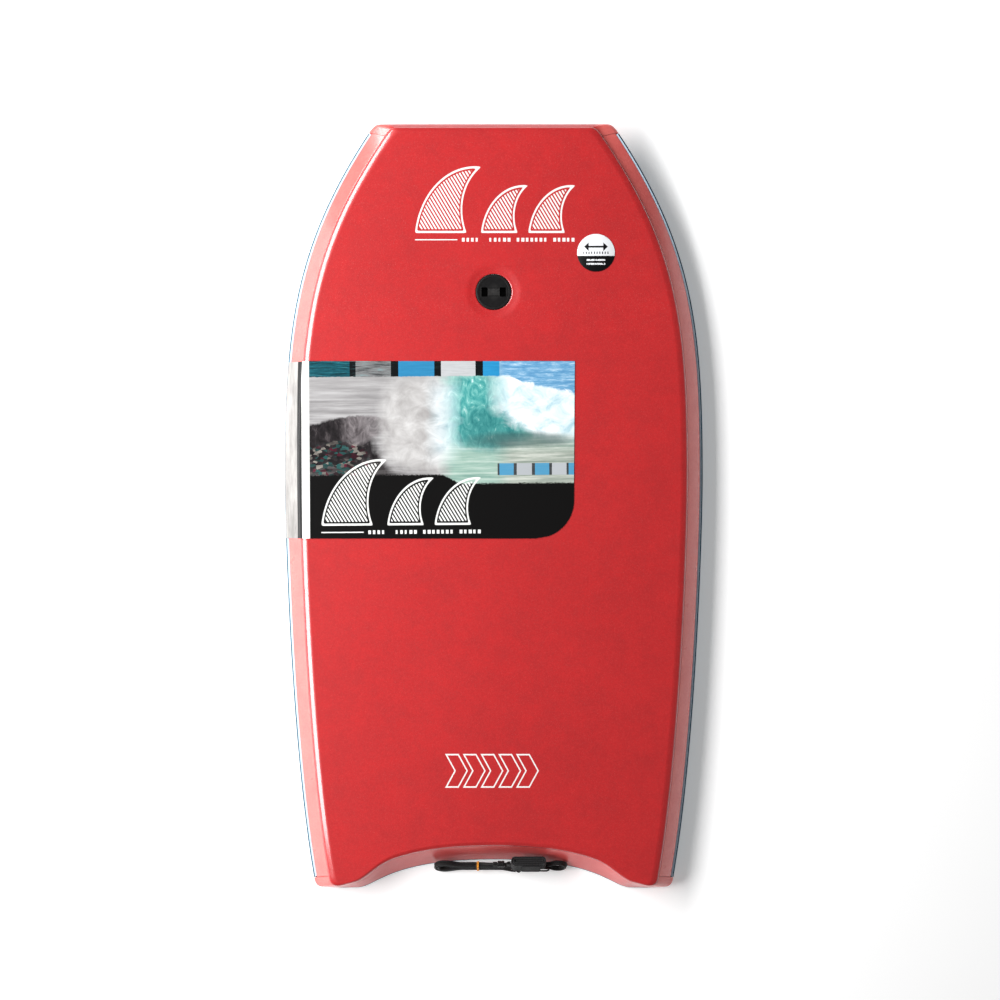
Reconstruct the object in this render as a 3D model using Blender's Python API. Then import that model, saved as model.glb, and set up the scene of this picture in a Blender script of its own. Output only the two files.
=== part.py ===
"""Child's 36 inch bodyboard with its leash, as an assembly of separate pieces.

+Y is the nose, +X the rider's right, +Z the deck. The origin is the middle of the
slick bottom, so the board lies flat on z = 0. All sizes are in metres.
"""

from math import atan2, cos, pi, sin

import bpy
from mathutils import Matrix, Vector

# Board, overall
LENGTH = 0.9144
THICKNESS = 0.046
WIDEST = 0.2503            # half width at the widest station
WIDEST_Y = 0.037
NOSE_HALF = 0.1415
NOSE_FLARE = 0.615         # angle of the rail to the centre line at the nose corner
TAIL_HALF = 0.2122
TAIL_TAPER = 0.191         # angle of the rail to the centre line at the tail corner
ROCKER_START = 0.18        # the bottom is flat behind this station
ROCKER_BOTTOM = 0.018
ROCKER_DECK = 0.007

# Crescent tail
TAIL_DEPTH = 0.0332
TAIL_ARM = 0.165           # half width of the crescent where it meets the arms
TAIL_MID_HANDLE = 0.127
TAIL_ARM_HANDLE = 0.024
TAIL_BEVEL_MID = 0.030
TAIL_BEVEL_ARM = 0.012

# Corners in plan
NOSE_CORNER = 0.006
TAIL_CORNER = 0.0095

# Skins
GAP = 0.0003
SLICK = 0.002
DECK_SKIN = 0.003
LABEL = 0.0005

# Stations along the perimeter
SIDE_STEPS = 24
TAIL_STEPS = 14
CORNER_STEPS = 3
CUT_NOSE = 0.012           # where the nose bumper ends, as a share of the rail
CUT_TAIL = 0.988
SEAM = 0.0012              # between a bumper and the rail, as a share of the rail

# Leash plug
PLUG_Y = 0.257
PLUG_DISC = 0.021
PLUG_CUP = 0.017
PLUG_STEM = 0.0065
PLUG_POST = 0.004
PLUG_BASE = 0.019
SLOT_IN = 0.007
SLOT_OUT = 0.0146
SLOT_HALF = 0.0055
PLUG_TOP = 0.0453
PLUG_DISC_LOW = 0.0413
CUP_LOW = 0.030
STEM_LOW = 0.012
BASE_LOW = 0.0019
BASE_HIGH = 0.0049

# Graphics that are pieces of their own
STICKER_AT = (0.121, 0.303)
STICKER_RADIUS = 0.0223
LABEL_RIGHT = 0.096
LABEL_FRONT = 0.175
LABEL_BACK = -0.035

# Leash: x runs along the bundle, w up the tail face, n out of it
LEAN = atan2(0.040, 0.78 * TAIL_BEVEL_MID)
LEASH_FOOT = -0.4318
CORD = 0.003
CORD_PITCH = 0.0033
HANK_MID = 0.0128
LOOP_INNER = 0.0075
HANK_LEFT = -0.0595
HANK_RIGHT = 0.0765
WAIST_LEFT = -0.038
WAIST_RIGHT = 0.0625
BAND_X = -0.019
SWIVEL_W = 0.026
SWIVEL_N = 0.0060
FERRULE_X = -0.001
BARREL_X = 0.0045
BARREL_LENGTH = 0.0085
BARREL_RADIUS = 0.0038
BAIL_X = 0.0175
BAIL_WIRE = 0.0008
CUFF_LEFT = 0.0205
CUFF_RIGHT = 0.0635
CUFF_LOW = 0.0198
CUFF_WIDTH = 0.020
CUFF_STRAP = 0.002
KNOT_X = 0.030
KNOT_RADIUS = 0.0032
STRING = 0.002
STRING_TIP = 0.066          # where the doubled string turns back
STRING_BEND = 0.0042

COLOURS = {
    "core": ((0.90, 0.90, 0.88), 0.9, 0.0),
    "deck": ((0.62, 0.05, 0.05), 0.35, 0.0),
    "stripe": ((0.36, 0.58, 0.70), 0.5, 0.0),
    "teal": ((0.02, 0.10, 0.14), 0.45, 0.0),
    "slick": ((0.02, 0.12, 0.17), 0.3, 0.0),
    "plug": ((0.02, 0.02, 0.02), 0.4, 0.0),
    "paper": ((0.85, 0.87, 0.88), 0.4, 0.0),
    "cord": ((0.02, 0.02, 0.02), 0.8, 0.0),
    "webbing": ((0.03, 0.03, 0.03), 0.9, 0.0),
    "rubber": ((0.90, 0.45, 0.06), 0.6, 0.0),
    "swivel": ((0.03, 0.03, 0.03), 0.3, 0.0),
}


def clearScene():
    for item in list(bpy.data.objects):
        bpy.data.objects.remove(item, do_unlink=True)


def material(name):
    found = bpy.data.materials.get(name)
    if found:
        return found
    colour, roughness, metallic = COLOURS[name]
    made = bpy.data.materials.new(name)
    made.use_nodes = True
    shader = made.node_tree.nodes["Principled BSDF"]
    shader.inputs["Base Color"].default_value = (*colour, 1)
    shader.inputs["Roughness"].default_value = roughness
    shader.inputs["Metallic"].default_value = metallic
    return made


def solid(name, vertices, faces, colour, matrix=None, smooth=True):
    mesh = bpy.data.meshes.new(name)
    mesh.from_pydata([tuple(v) for v in vertices], [], faces)
    mesh.validate()
    if smooth:
        mesh.shade_smooth()
        mesh.set_sharp_from_angle(angle=0.6)
    item = bpy.data.objects.new(name, mesh)
    bpy.context.collection.objects.link(item)
    if matrix:
        item.matrix_world = matrix
    mesh.materials.append(material(colour))
    return item


def cut(item, cutter):
    cutter.hide_render = True
    cutter.display_type = "WIRE"
    step = item.modifiers.new("cut", "BOOLEAN")
    step.operation = "DIFFERENCE"
    step.object = cutter


# ---------------------------------------------------------------- plan curves

def bezier(points, t):
    a, b, c, d = points
    s = 1 - t
    return tuple(s**3 * p + 3 * s * s * t * q + 3 * s * t * t * r + t**3 * k
                 for p, q, r, k in zip(a, b, c, d))


RAIL_FRONT = (
    (NOSE_HALF, LENGTH / 2),
    (NOSE_HALF + 0.1745 * sin(NOSE_FLARE), LENGTH / 2 - 0.1745 * cos(NOSE_FLARE)),
    (WIDEST, WIDEST_Y + 0.1756),
    (WIDEST, WIDEST_Y),
)
RAIL_BACK = (
    (WIDEST, WIDEST_Y),
    (WIDEST, WIDEST_Y - 0.060),
    (TAIL_HALF + 0.158 * sin(TAIL_TAPER), -LENGTH / 2 + 0.158 * cos(TAIL_TAPER)),
    (TAIL_HALF, -LENGTH / 2),
)
CRESCENT = (
    (0, -LENGTH / 2 + TAIL_DEPTH),
    (TAIL_MID_HANDLE, -LENGTH / 2 + TAIL_DEPTH),
    (TAIL_ARM - TAIL_ARM_HANDLE, -LENGTH / 2),
    (TAIL_ARM, -LENGTH / 2),
)


def railPoint(u, inset):
    """A point of the rail, u from 0 at the nose to 2 at the tail, moved inward."""
    curve = RAIL_FRONT if u < 1 else RAIL_BACK
    t = u if u < 1 else u - 1
    x, y = bezier(curve, t)
    x1, y1 = bezier(curve, t + 1e-4)
    x0, y0 = bezier(curve, t - 1e-4)
    along = Vector((x1 - x0, y1 - y0)).normalized()
    return Vector((x + along.y * inset, y - along.x * inset))


def crescentY(x):
    """The foot of the tail face at x."""
    x = abs(x)
    if x >= TAIL_ARM:
        return -LENGTH / 2
    low, high = 0.0, 1.0
    for _ in range(40):
        mid = (low + high) / 2
        if bezier(CRESCENT, mid)[0] < x:
            low = mid
        else:
            high = mid
    return bezier(CRESCENT, low)[1]


def tailBevel(x):
    """How far the tail face leans in over the board's thickness."""
    share = min(max((abs(x) - 0.120) / 0.070, 0), 1)
    ease = share * share * (3 - 2 * share)
    return TAIL_BEVEL_MID + (TAIL_BEVEL_ARM - TAIL_BEVEL_MID) * ease


def rise(y):
    return max(0, (y - ROCKER_START) / (LENGTH / 2 - ROCKER_START)) ** 2


def bottomAt(y):
    return ROCKER_BOTTOM * rise(y)


def deckAt(y):
    return THICKNESS + ROCKER_DECK * rise(y)


class Level:
    """One horizontal line round the board: how far in it lies and how high."""

    def __init__(self, side, nose, tail, tailExtra=0.0, up=None, down=None):
        self.side = side
        self.nose = nose
        self.tail = tail
        self.tailExtra = tailExtra
        self.up = up
        self.down = down

    def height(self, y):
        if self.up is not None:
            return bottomAt(y) + self.up
        return deckAt(y) - self.down

    def tailY(self, x):
        return crescentY(x) + self.tail * tailBevel(x) + self.tailExtra

    def halfLoop(self):
        """Points from the middle of the nose, round the right rail, to mid tail."""
        noseY = LENGTH / 2 - self.nose
        start = self.crossing(-0.1, 0.6, lambda p: p.y - noseY)
        end = self.crossing(1.4, 2.1, lambda p: p.y - self.tailY(p.x))
        corner = railPoint(start, self.side)
        heel = railPoint(end, self.side)
        side = []
        for k in range(SIDE_STEPS + 1):
            side.append(k / SIDE_STEPS)
        side[0] = 0.010
        side[-1] = 0.990
        side += [CUT_NOSE, CUT_NOSE + SEAM, CUT_TAIL - SEAM, CUT_TAIL]
        side = [railPoint(start + (end - start) * v, self.side) for v in sorted(side)]
        noseEnd = Vector((corner.x - NOSE_CORNER, noseY))
        tailX = heel.x - TAIL_CORNER
        tailEnd = Vector((tailX, self.tailY(tailX)))
        path = [Vector((noseEnd.x * k / 3, noseY)) for k in range(4)]
        path += bend(path[-1], corner, side[0])
        path += side
        path += bend(side[-1], heel, tailEnd)
        path.append(tailEnd)
        for k in range(TAIL_STEPS + 1):
            x = TAIL_ARM * (1 - k / TAIL_STEPS)
            path.append(Vector((x, self.tailY(x))))
        return [Vector((p.x, p.y, self.height(p.y))) for p in path]

    def crossing(self, low, high, side):
        """The rail parameter where side() changes sign."""
        first = side(railPoint(low, self.side)) > 0
        for _ in range(40):
            mid = (low + high) / 2
            if (side(railPoint(mid, self.side)) > 0) == first:
                low = mid
            else:
                high = mid
        return low

    def loop(self):
        right = self.halfLoop()
        left = [Vector((-p.x, p.y, p.z)) for p in right[-2:0:-1]]
        return right + left


def bend(start, corner, end):
    """The inner points of a rounded corner."""
    made = []
    for k in range(1, CORNER_STEPS + 1):
        t = k / (CORNER_STEPS + 1)
        made.append(start * (1 - t) ** 2 + corner * 2 * t * (1 - t) + end * t * t)
    return made


# Places along halfLoop()
NOSE_POINTS = 4 + CORNER_STEPS
CUT_A = NOSE_POINTS + 1                      # last station of the nose bumper
CUT_B = NOSE_POINTS + SIDE_STEPS + 3         # first station of the tail bumper

# Cross-section of the rails, from the bottom up. Outer lines, then inner lines.
TAIL_WALL = 0.0047
FIT = 0.00045                # between the skins and the core, measured level
TAIL_FIT = 0.0009            # the same along y, where the tail face runs askew
OUTER = {
    "foot": Level(0.0179, 0.0117, 0.065, up=SLICK + GAP),
    "chine": Level(0.0009, 0.0008, 0.361, up=0.0175),
    "apex": Level(0.0, 0.0, 0.394, up=0.0192),
    "stripeLow": Level(0.0019, 0.0003, 0.400, up=0.0195),
    "stripeHigh": Level(0.0019, 0.0007, 0.453, up=0.0222),
    "upper": Level(0.0038, 0.0008, 0.459, up=0.0225),
    "shoulder": Level(0.0193, 0.0054, 0.794, down=0.0063),
}
INNER = {
    "foot": Level(0.0235, 0.0170, 0.065, TAIL_WALL, up=SLICK + GAP),
    "chine": Level(0.0065, 0.0060, 0.361, TAIL_WALL, up=0.0175),
    "apex": Level(0.0060, 0.0055, 0.394, TAIL_WALL, up=0.0192),
    "stripeLow": Level(0.0063, 0.0056, 0.400, TAIL_WALL, up=0.0195),
    "stripeHigh": Level(0.0091, 0.0062, 0.453, TAIL_WALL, up=0.0222),
    "upper": Level(0.0094, 0.0063, 0.459, TAIL_WALL, up=0.0225),
    "shoulder": Level(0.0249, 0.0106, 0.794, TAIL_WALL, down=0.0063),
}


def inward(level, by):
    return Level(level.side + by, level.nose + by, level.tail, level.tailExtra + 2 * by,
                 level.up, level.down)


def strip(name, levels, first, last, colour, mirror=False):
    """A band of the rail: one cross-section swept from station first to last."""
    lines = [level.halfLoop()[first:last + 1] for level in levels]
    sign = -1 if mirror else 1
    count = len(levels)
    vertices = [Vector((sign * line[k].x, line[k].y, line[k].z))
                for k in range(last - first + 1) for line in lines]
    faces = []
    for k in range(last - first):
        for j in range(count):
            a = k * count + j
            b = k * count + (j + 1) % count
            faces.append((a, b, b + count, a + count))
    faces.append(tuple(reversed(range(count))))
    end = (last - first) * count
    faces.append(tuple(end + j for j in range(count)))
    if mirror:
        faces = [tuple(reversed(face)) for face in faces]
    return solid(name, vertices, faces, colour)


def cap(name, levels, middle, reach, colour):
    """A bumper: the cross-section swept across the nose or the tail."""
    lines = []
    for level in levels:
        half = level.halfLoop()
        part = half[:reach + 1] if middle == 0 else half[reach:][::-1]
        lines.append([Vector((-p.x, p.y, p.z)) for p in part[:0:-1]] + part)
    count = len(levels)
    stations = len(lines[0])
    vertices = [line[k] for k in range(stations) for line in lines]
    faces = []
    for k in range(stations - 1):
        for j in range(count):
            a = k * count + j
            b = k * count + (j + 1) % count
            faces.append((a, b, b + count, a + count))
    faces.append(tuple(reversed(range(count))))
    end = (stations - 1) * count
    faces.append(tuple(end + j for j in range(count)))
    if middle == 1:
        faces = [tuple(reversed(face)) for face in faces]
    return solid(name, vertices, faces, colour)


def slab(name, rings, colour):
    """A layer closed by a flat-ruled face on its lowest and its highest ring."""
    loops = [level.loop() for level in rings]
    size = len(loops[0])
    vertices = [p for loop in loops for p in loop]
    faces = []
    for k in range(len(loops) - 1):
        for j in range(size):
            a = k * size + j
            b = k * size + (j + 1) % size
            faces.append((b, a, a + size, b + size))
    half = size // 2
    rows = [j for j in range(4, half) if loops[0][j].y > ROCKER_START - 0.05]
    for base, flip in ((0, False), ((len(loops) - 1) * size, True)):
        made = [tuple([base + (j % size) for j in range(-rows[0], rows[0] + 1)])]
        for a, b in zip(rows, rows[1:]):
            made.append((base + size - a, base + a, base + b, base + size - b))
        made.append(tuple(base + j for j in range(rows[-1], size - rows[-1] + 1)))
        faces += [tuple(reversed(face)) if flip else face for face in made]
    return solid(name, vertices, faces, colour)


def turned(name, profile, colour, sides=32, matrix=None):
    """A solid of revolution about z, from (radius, height) pairs, bottom to top."""
    vertices = []
    rings = []
    for radius, height in profile:
        if radius == 0:
            rings.append([len(vertices)])
            vertices.append((0, 0, height))
            continue
        rings.append(list(range(len(vertices), len(vertices) + sides)))
        for k in range(sides):
            angle = 2 * pi * k / sides
            vertices.append((radius * cos(angle), radius * sin(angle), height))
    faces = []
    for low, high in zip(rings, rings[1:]):
        for k in range(sides):
            a = low[k % len(low)]
            b = low[(k + 1) % len(low)]
            c = high[(k + 1) % len(high)]
            d = high[k % len(high)]
            face = []
            for corner in (a, b, c, d):
                if corner not in face:
                    face.append(corner)
            faces.append(tuple(face))
    if len(rings[0]) > 1:
        faces.append(tuple(reversed(rings[0])))
    if len(rings[-1]) > 1:
        faces.append(tuple(rings[-1]))
    return solid(name, vertices, faces, colour, matrix)


def block(name, low, high, colour, matrix=None):
    xs, ys, zs = zip(low, high)
    vertices = [(x, y, z) for z in zs for y in ys for x in xs]
    faces = [(0, 2, 3, 1), (4, 5, 7, 6), (0, 1, 5, 4), (2, 6, 7, 3), (0, 4, 6, 2), (1, 3, 7, 5)]
    return solid(name, vertices, faces, colour, matrix, smooth=False)


def prism(name, outline, low, high, colour, matrix):
    """A closed outline in the first two axes, extruded along the third."""
    size = len(outline)
    vertices = [(x, y, low) for x, y in outline] + [(x, y, high) for x, y in outline]
    faces = [tuple(reversed(range(size))), tuple(range(size, 2 * size))]
    for k in range(size):
        m = (k + 1) % size
        faces.append((k, m, size + m, size + k))
    return solid(name, vertices, faces, colour, matrix)


# --------------------------------------------------------------------- board

def plugHole(name, steps):
    """A stepped cutter on the plug's axis."""
    return turned(name, steps, "core", 40, Matrix.Translation((0, PLUG_Y, 0)))


def foamCore():
    rings = [inward(INNER[key], FIT)
             for key in ("foot", "chine", "apex", "stripeLow", "stripeHigh", "upper")]
    rings.append(Level(0.0257, 0.0115, 0.80, TAIL_WALL + TAIL_FIT, down=0.0060))
    rings.append(Level(0.0300, 0.0137, 1.0, 0.0035 + TAIL_FIT, down=DECK_SKIN + GAP))
    core = slab("foam_core", rings, "core")
    fit = 0.0004
    cut(core, plugHole("core_cutter", [
        (PLUG_BASE + fit, -0.005), (PLUG_BASE + fit, BASE_HIGH + GAP),
        (PLUG_STEM + fit, BASE_HIGH + GAP), (PLUG_STEM + fit, CUP_LOW - GAP),
        (PLUG_CUP + fit, CUP_LOW - GAP), (PLUG_CUP + fit, PLUG_DISC_LOW - GAP),
        (PLUG_DISC + fit, PLUG_DISC_LOW - GAP), (PLUG_DISC + fit, 0.060)]))


def deckSkin():
    skin = slab("deck_skin", [
        Level(0.0300 - FIT, 0.0137 - FIT, 1.0, 0.0035, down=DECK_SKIN),
        Level(0.0257 - FIT, 0.0115 - FIT, 0.80, TAIL_WALL, down=0.0060),
        Level(0.0196, 0.0056, 0.80, down=0.0060),
        Level(0.0230, 0.0080, 0.90, down=0.0024),
        Level(0.0280, 0.0120, 1.0, down=0.0),
    ], "deck")
    cut(skin, plugHole("deck_cutter", [(PLUG_DISC + 0.0004, 0.03), (PLUG_DISC + 0.0004, 0.06)]))


def slickBottom():
    slick = slab("slick_bottom", [
        Level(0.0205, 0.0145, 0.03, up=0.0),
        Level(0.0182, 0.0120, 0.055, up=SLICK),
    ], "slick")
    cut(slick, plugHole("slick_cutter", [(PLUG_BASE + 0.0004, -0.01), (PLUG_BASE + 0.0004, 0.01)]))


def rails():
    for side, mirror in (("right", False), ("left", True)):
        lower = [OUTER["foot"], OUTER["chine"], OUTER["apex"],
                 INNER["apex"], INNER["chine"], INNER["foot"]]
        stripe = [OUTER["stripeLow"], OUTER["stripeHigh"], INNER["stripeHigh"], INNER["stripeLow"]]
        upper = [OUTER["upper"], OUTER["shoulder"], INNER["shoulder"], INNER["upper"]]
        strip("rail_lower_" + side, lower, CUT_A + 1, CUT_B - 1, "teal", mirror)
        strip("rail_stripe_" + side, stripe, CUT_A + 1, CUT_B - 1, "stripe", mirror)
        strip("rail_upper_" + side, upper, CUT_A + 1, CUT_B - 1, "deck", mirror)


def bumpers():
    keys = ("foot", "chine", "apex", "upper", "shoulder")
    section = [OUTER[key] for key in keys] + [INNER[key] for key in reversed(keys)]
    cap("nose_bumper", section, 0, CUT_A, "deck")
    cap("tail_bumper", section, 1, CUT_B, "deck")


def leashPlug():
    here = Matrix.Translation((0, PLUG_Y, 0))
    plug = turned("plug_cap", [
        (PLUG_POST + GAP, STEM_LOW), (PLUG_STEM, STEM_LOW), (PLUG_STEM, CUP_LOW),
        (PLUG_CUP, CUP_LOW), (PLUG_CUP, PLUG_DISC_LOW), (PLUG_DISC - 0.0006, PLUG_DISC_LOW),
        (PLUG_DISC, PLUG_DISC_LOW + 0.0006), (PLUG_DISC, PLUG_TOP - 0.0012),
        (PLUG_DISC - 0.0012, PLUG_TOP), (0, PLUG_TOP)], "plug", 40, here)
    cutters = [
        turned("bore_cutter", [(PLUG_POST + GAP, 0.0), (PLUG_POST + GAP, 0.0265)], "plug", 24, here),
        block("tunnel_cutter", (-SLOT_OUT, -SLOT_HALF, CUP_LOW + 0.0018),
              (SLOT_OUT, SLOT_HALF, PLUG_DISC_LOW - 0.0005), "plug", here),
        block("slot_cutter_right", (SLOT_IN, -SLOT_HALF, CUP_LOW + 0.0060),
              (SLOT_OUT, SLOT_HALF, 0.055), "plug", here),
        block("slot_cutter_left", (-SLOT_OUT, -SLOT_HALF, CUP_LOW + 0.0060),
              (-SLOT_IN, SLOT_HALF, 0.055), "plug", here),
    ]
    for cutter in cutters:
        cut(plug, cutter)
    turned("plug_base", [
        (0, BASE_LOW), (PLUG_BASE - 0.0008, BASE_LOW), (PLUG_BASE, BASE_LOW + 0.0008),
        (PLUG_BASE, BASE_HIGH), (PLUG_POST, BASE_HIGH), (PLUG_POST, 0.0235),
        (PLUG_POST - 0.0010, 0.0245), (0, 0.0245)], "plug", 36, here)


# ------------------------------------------------------------- stuck-on pieces

def sizeSticker():
    x, y = STICKER_AT
    slope = 2 * ROCKER_DECK * (y - ROCKER_START) / (LENGTH / 2 - ROCKER_START) ** 2
    place = Matrix.Translation((x, y, deckAt(y) + 0.0001)) @ Matrix.Rotation(atan2(slope, 1), 4, "X")
    turned("size_sticker", [(0, GAP), (STICKER_RADIUS, GAP), (STICKER_RADIUS, 2 * GAP),
                            (0, 2 * GAP)], "paper", 40, place)


def labelSleeve():
    """The printed label, laid over the deck and down the left rail."""
    section = [Level(0.0280, 0, 0, down=0.0), Level(0.0230, 0, 0, down=0.0024),
               OUTER["shoulder"], OUTER["stripeHigh"], OUTER["stripeLow"]]
    lines = [[Vector((-p.x, p.y, p.z)) for p in level.halfLoop()] for level in section]
    inner = []
    stations = [k for k in range(NOSE_POINTS, CUT_B) if LABEL_BACK < lines[0][k].y < LABEL_FRONT]
    cuts = [(stations[0] - 1, LABEL_FRONT)] + [(k, None) for k in stations]
    cuts += [(stations[-1], LABEL_BACK)]
    for k, y in cuts:
        row = [between(line, k, y) for line in lines]
        row.insert(0, Vector((LABEL_RIGHT, row[0].y, row[0].z)))
        inner.append(row)
    shells = [[offset(row, by) for row in inner] for by in (GAP * 1.3, GAP * 1.3 + LABEL)]
    count = len(inner[0])
    rows = len(inner)
    vertices = [p for shell in shells for row in shell for p in row]
    top = rows * count
    faces = []
    for k in range(rows - 1):
        for j in range(count - 1):
            a = k * count + j
            faces.append((a, a + count, a + count + 1, a + 1))
            faces.append((top + a, top + a + 1, top + a + count + 1, top + a + count))
    edge = [j for j in range(count)]
    edge += [k * count + count - 1 for k in range(1, rows)]
    edge += [(rows - 1) * count + j for j in range(count - 2, -1, -1)]
    edge += [k * count for k in range(rows - 2, 0, -1)]
    for a, b in zip(edge, edge[1:] + edge[:1]):
        faces.append((a, b, top + b, top + a))
    solid("label_sleeve", vertices, faces, "paper")


def between(line, k, y):
    """The point of a line at y, or its own station k when y is None."""
    if y is None:
        return line[k].copy()
    share = (line[k].y - y) / (line[k].y - line[k + 1].y)
    return line[k].lerp(line[k + 1], share)


def offset(row, by):
    """A cross-section moved out by a distance, in its own upright plane."""
    made = []
    for k, point in enumerate(row):
        before = (point - row[k - 1]) if k else (row[1] - point)
        after = (row[k + 1] - point) if k < len(row) - 1 else (point - row[k - 1])
        normals = []
        for run in (before, after):
            flat = Vector((run.x, run.z)).normalized()
            normals.append(Vector((flat.y, -flat.x)))
        middle = (normals[0] + normals[1]).normalized()
        out = middle * by / middle.dot(normals[0])
        made.append(Vector((point.x + out.x, point.y, point.z + out.y)))
    return made


# --------------------------------------------------------------------- leash

LEASH = Matrix(((1, 0, 0, 0),
                (0, cos(LEAN), -sin(LEAN), LEASH_FOOT),
                (0, sin(LEAN), cos(LEAN), 0),
                (0, 0, 0, 1)))
# the same place with the extrusion running up the tail face
ACROSS = LEASH @ Matrix(((1, 0, 0, 0), (0, 0, 1, 0), (0, -1, 0, 0), (0, 0, 0, 1)))
# turned pieces with their axis along the bundle
ALONG = LEASH @ Matrix(((0, 0, 1, 0), (1, 0, 0, 0), (0, 1, 0, 0), (0, 0, 0, 1)))


def halfWidth(x, outer, waist):
    """Half width of a folded run: a slim waist that opens to a round loop."""
    for loop, edge in ((HANK_LEFT, WAIST_LEFT), (HANK_RIGHT, WAIST_RIGHT)):
        share = (x - edge) / (loop - edge)
        if share > 0:
            ease = (1 - cos(pi * min(share, 1))) / 2
            return waist + (outer - waist) * ease
    return waist


def leashHank():
    outer = LOOP_INNER + CORD_PITCH + CORD / 2
    waist = 1.5 * CORD_PITCH + CORD / 2
    xs = [HANK_RIGHT + (WAIST_RIGHT - HANK_RIGHT) * k / 5 for k in range(6)]
    xs += [WAIST_LEFT + (HANK_LEFT - WAIST_LEFT) * k / 5 for k in range(6)]
    upper = [(x, halfWidth(x, outer, waist)) for x in xs]
    ends = []
    for middle, turn in ((HANK_LEFT, pi / 2), (HANK_RIGHT, -pi / 2)):
        ends.append([(middle + outer * cos(turn + pi * k / 10), outer * sin(turn + pi * k / 10))
                     for k in range(1, 10)])
    lower = [(x, -w) for x, w in reversed(upper)]
    outline = [(x, HANK_MID + w) for x, w in upper + ends[0] + lower + ends[1]]
    prism("leash_hank", outline, 0.0004, 0.0004 + CORD_PITCH + CORD + 0.0003, "cord", LEASH)


def tube(name, points, diameter, colour, matrix):
    curve = bpy.data.curves.new(name, "CURVE")
    curve.dimensions = "3D"
    curve.bevel_depth = diameter / 2
    curve.bevel_resolution = 2
    curve.use_fill_caps = True
    line = curve.splines.new("POLY")
    line.points.add(len(points) - 1)
    for point, place in zip(line.points, points):
        point.co = (*place, 1)
    item = bpy.data.objects.new(name, curve)
    bpy.context.collection.objects.link(item)
    item.matrix_world = matrix
    curve.materials.append(material(colour))


def leashCord():
    """The free stretch, from the hank's waist up to the swivel."""
    low = HANK_MID + 1.5 * CORD_PITCH
    start = BAND_X
    span = FERRULE_X - GAP - start
    points = []
    for k in range(15):
        share = 0.50 + 0.50 * k / 14
        w = low + (SWIVEL_W - low) * (1 - cos(pi * share)) / 2
        points.append((start + span * share, w, SWIVEL_N))
    tube("leash_cord", points, CORD, "cord", LEASH)


def swivel():
    place = ALONG @ Matrix.Translation((SWIVEL_W, SWIVEL_N, 0))
    turned("swivel_rotor", [
        (0, FERRULE_X), (0.0024, FERRULE_X), (0.0027, FERRULE_X + 0.0008),
        (0.0027, BARREL_X - 0.0008), (0.0014, BARREL_X - GAP), (0.0014, BARREL_X + 0.0018),
        (0.0025, BARREL_X + 0.0018), (0.0025, BARREL_X + 0.0034), (0, BARREL_X + 0.0034),
    ], "swivel", 24, place)
    end = BARREL_X + BARREL_LENGTH
    barrel = turned("swivel_barrel", [
        (0, BARREL_X), (BARREL_RADIUS - 0.0006, BARREL_X), (BARREL_RADIUS, BARREL_X + 0.0008),
        (BARREL_RADIUS, end - 0.0010), (BARREL_RADIUS - 0.0010, end), (0, end)],
        "swivel", 24, place)
    cavity = turned("cavity_cutter", [
        (0, BARREL_X - 0.0020), (0.0018, BARREL_X - 0.0020), (0.0018, BARREL_X + 0.0014),
        (0.0029, BARREL_X + 0.0014), (0.0029, BARREL_X + 0.0039), (0, BARREL_X + 0.0039)],
        "swivel", 24, place)
    cut(barrel, cavity)
    bail = bailWire(end)
    bail.hide_render = True
    bail.display_type = "WIRE"
    join = barrel.modifiers.new("bail", "BOOLEAN")
    join.operation = "UNION"
    join.object = bail


def bailWire(end):
    """The wire loop at the barrel's end, as a closed tube swept round a stadium."""
    reach = BAIL_X - (end - 0.0016)
    half = 0.0042
    path = [(end - 0.0016, -0.0012)]
    for k in range(9):
        angle = -pi / 2 + pi * k / 8
        path.append((end - 0.0016 + reach - 0.0015 + 0.0015 * cos(angle),
                     (half - 0.0015) * (1 if angle > 0 else -1 if angle < 0 else 0)
                     + 0.0015 * sin(angle)))
    path.append((end - 0.0016, 0.0012))
    vertices = []
    sides = 8
    for k, (x, w) in enumerate(path):
        x0, w0 = path[max(k - 1, 0)]
        x1, w1 = path[min(k + 1, len(path) - 1)]
        along = Vector((x1 - x0, w1 - w0)).normalized()
        side = Vector((-along.y, along.x))
        for m in range(sides):
            angle = 2 * pi * m / sides
            out = side * BAIL_WIRE * cos(angle)
            vertices.append((x + out.x, SWIVEL_W + w + out.y,
                             SWIVEL_N + BAIL_WIRE * sin(angle)))
    faces = [tuple(range(sides))]
    for k in range(len(path) - 1):
        for m in range(sides):
            a = k * sides + m
            b = k * sides + (m + 1) % sides
            faces.append((b, a, a + sides, b + sides))
    last = (len(path) - 1) * sides
    faces.append(tuple(last + m for m in reversed(range(sides))))
    return solid("bail_union", vertices, faces, "swivel", LEASH)


def cuffTab():
    """A short webbing tab round the bail, sewn to the cuff."""
    inner = BAIL_WIRE + GAP
    outer = inner + 0.0010
    end = CUFF_LEFT - GAP
    outline = [(end, -outer)]
    outline += [(BAIL_X + outer * cos(a), outer * sin(a))
                for a in [-pi / 2 - pi * k / 8 for k in range(9)]]
    outline += [(end, outer), (end, 0.0002), (BAIL_X + 0.0013, 0.0002)]
    outline += [(BAIL_X + inner * cos(a), inner * sin(a))
                for a in [0.25 + (2 * pi - 0.5) * k / 12 for k in range(13)]]
    outline += [(BAIL_X + 0.0013, -0.0002), (end, -0.0002)]
    outline = [(x, -SWIVEL_N - n) for x, n in outline]
    prism("cuff_tab", outline, SWIVEL_W - 0.0030, SWIVEL_W + 0.0030, "webbing", ACROSS)


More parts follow.
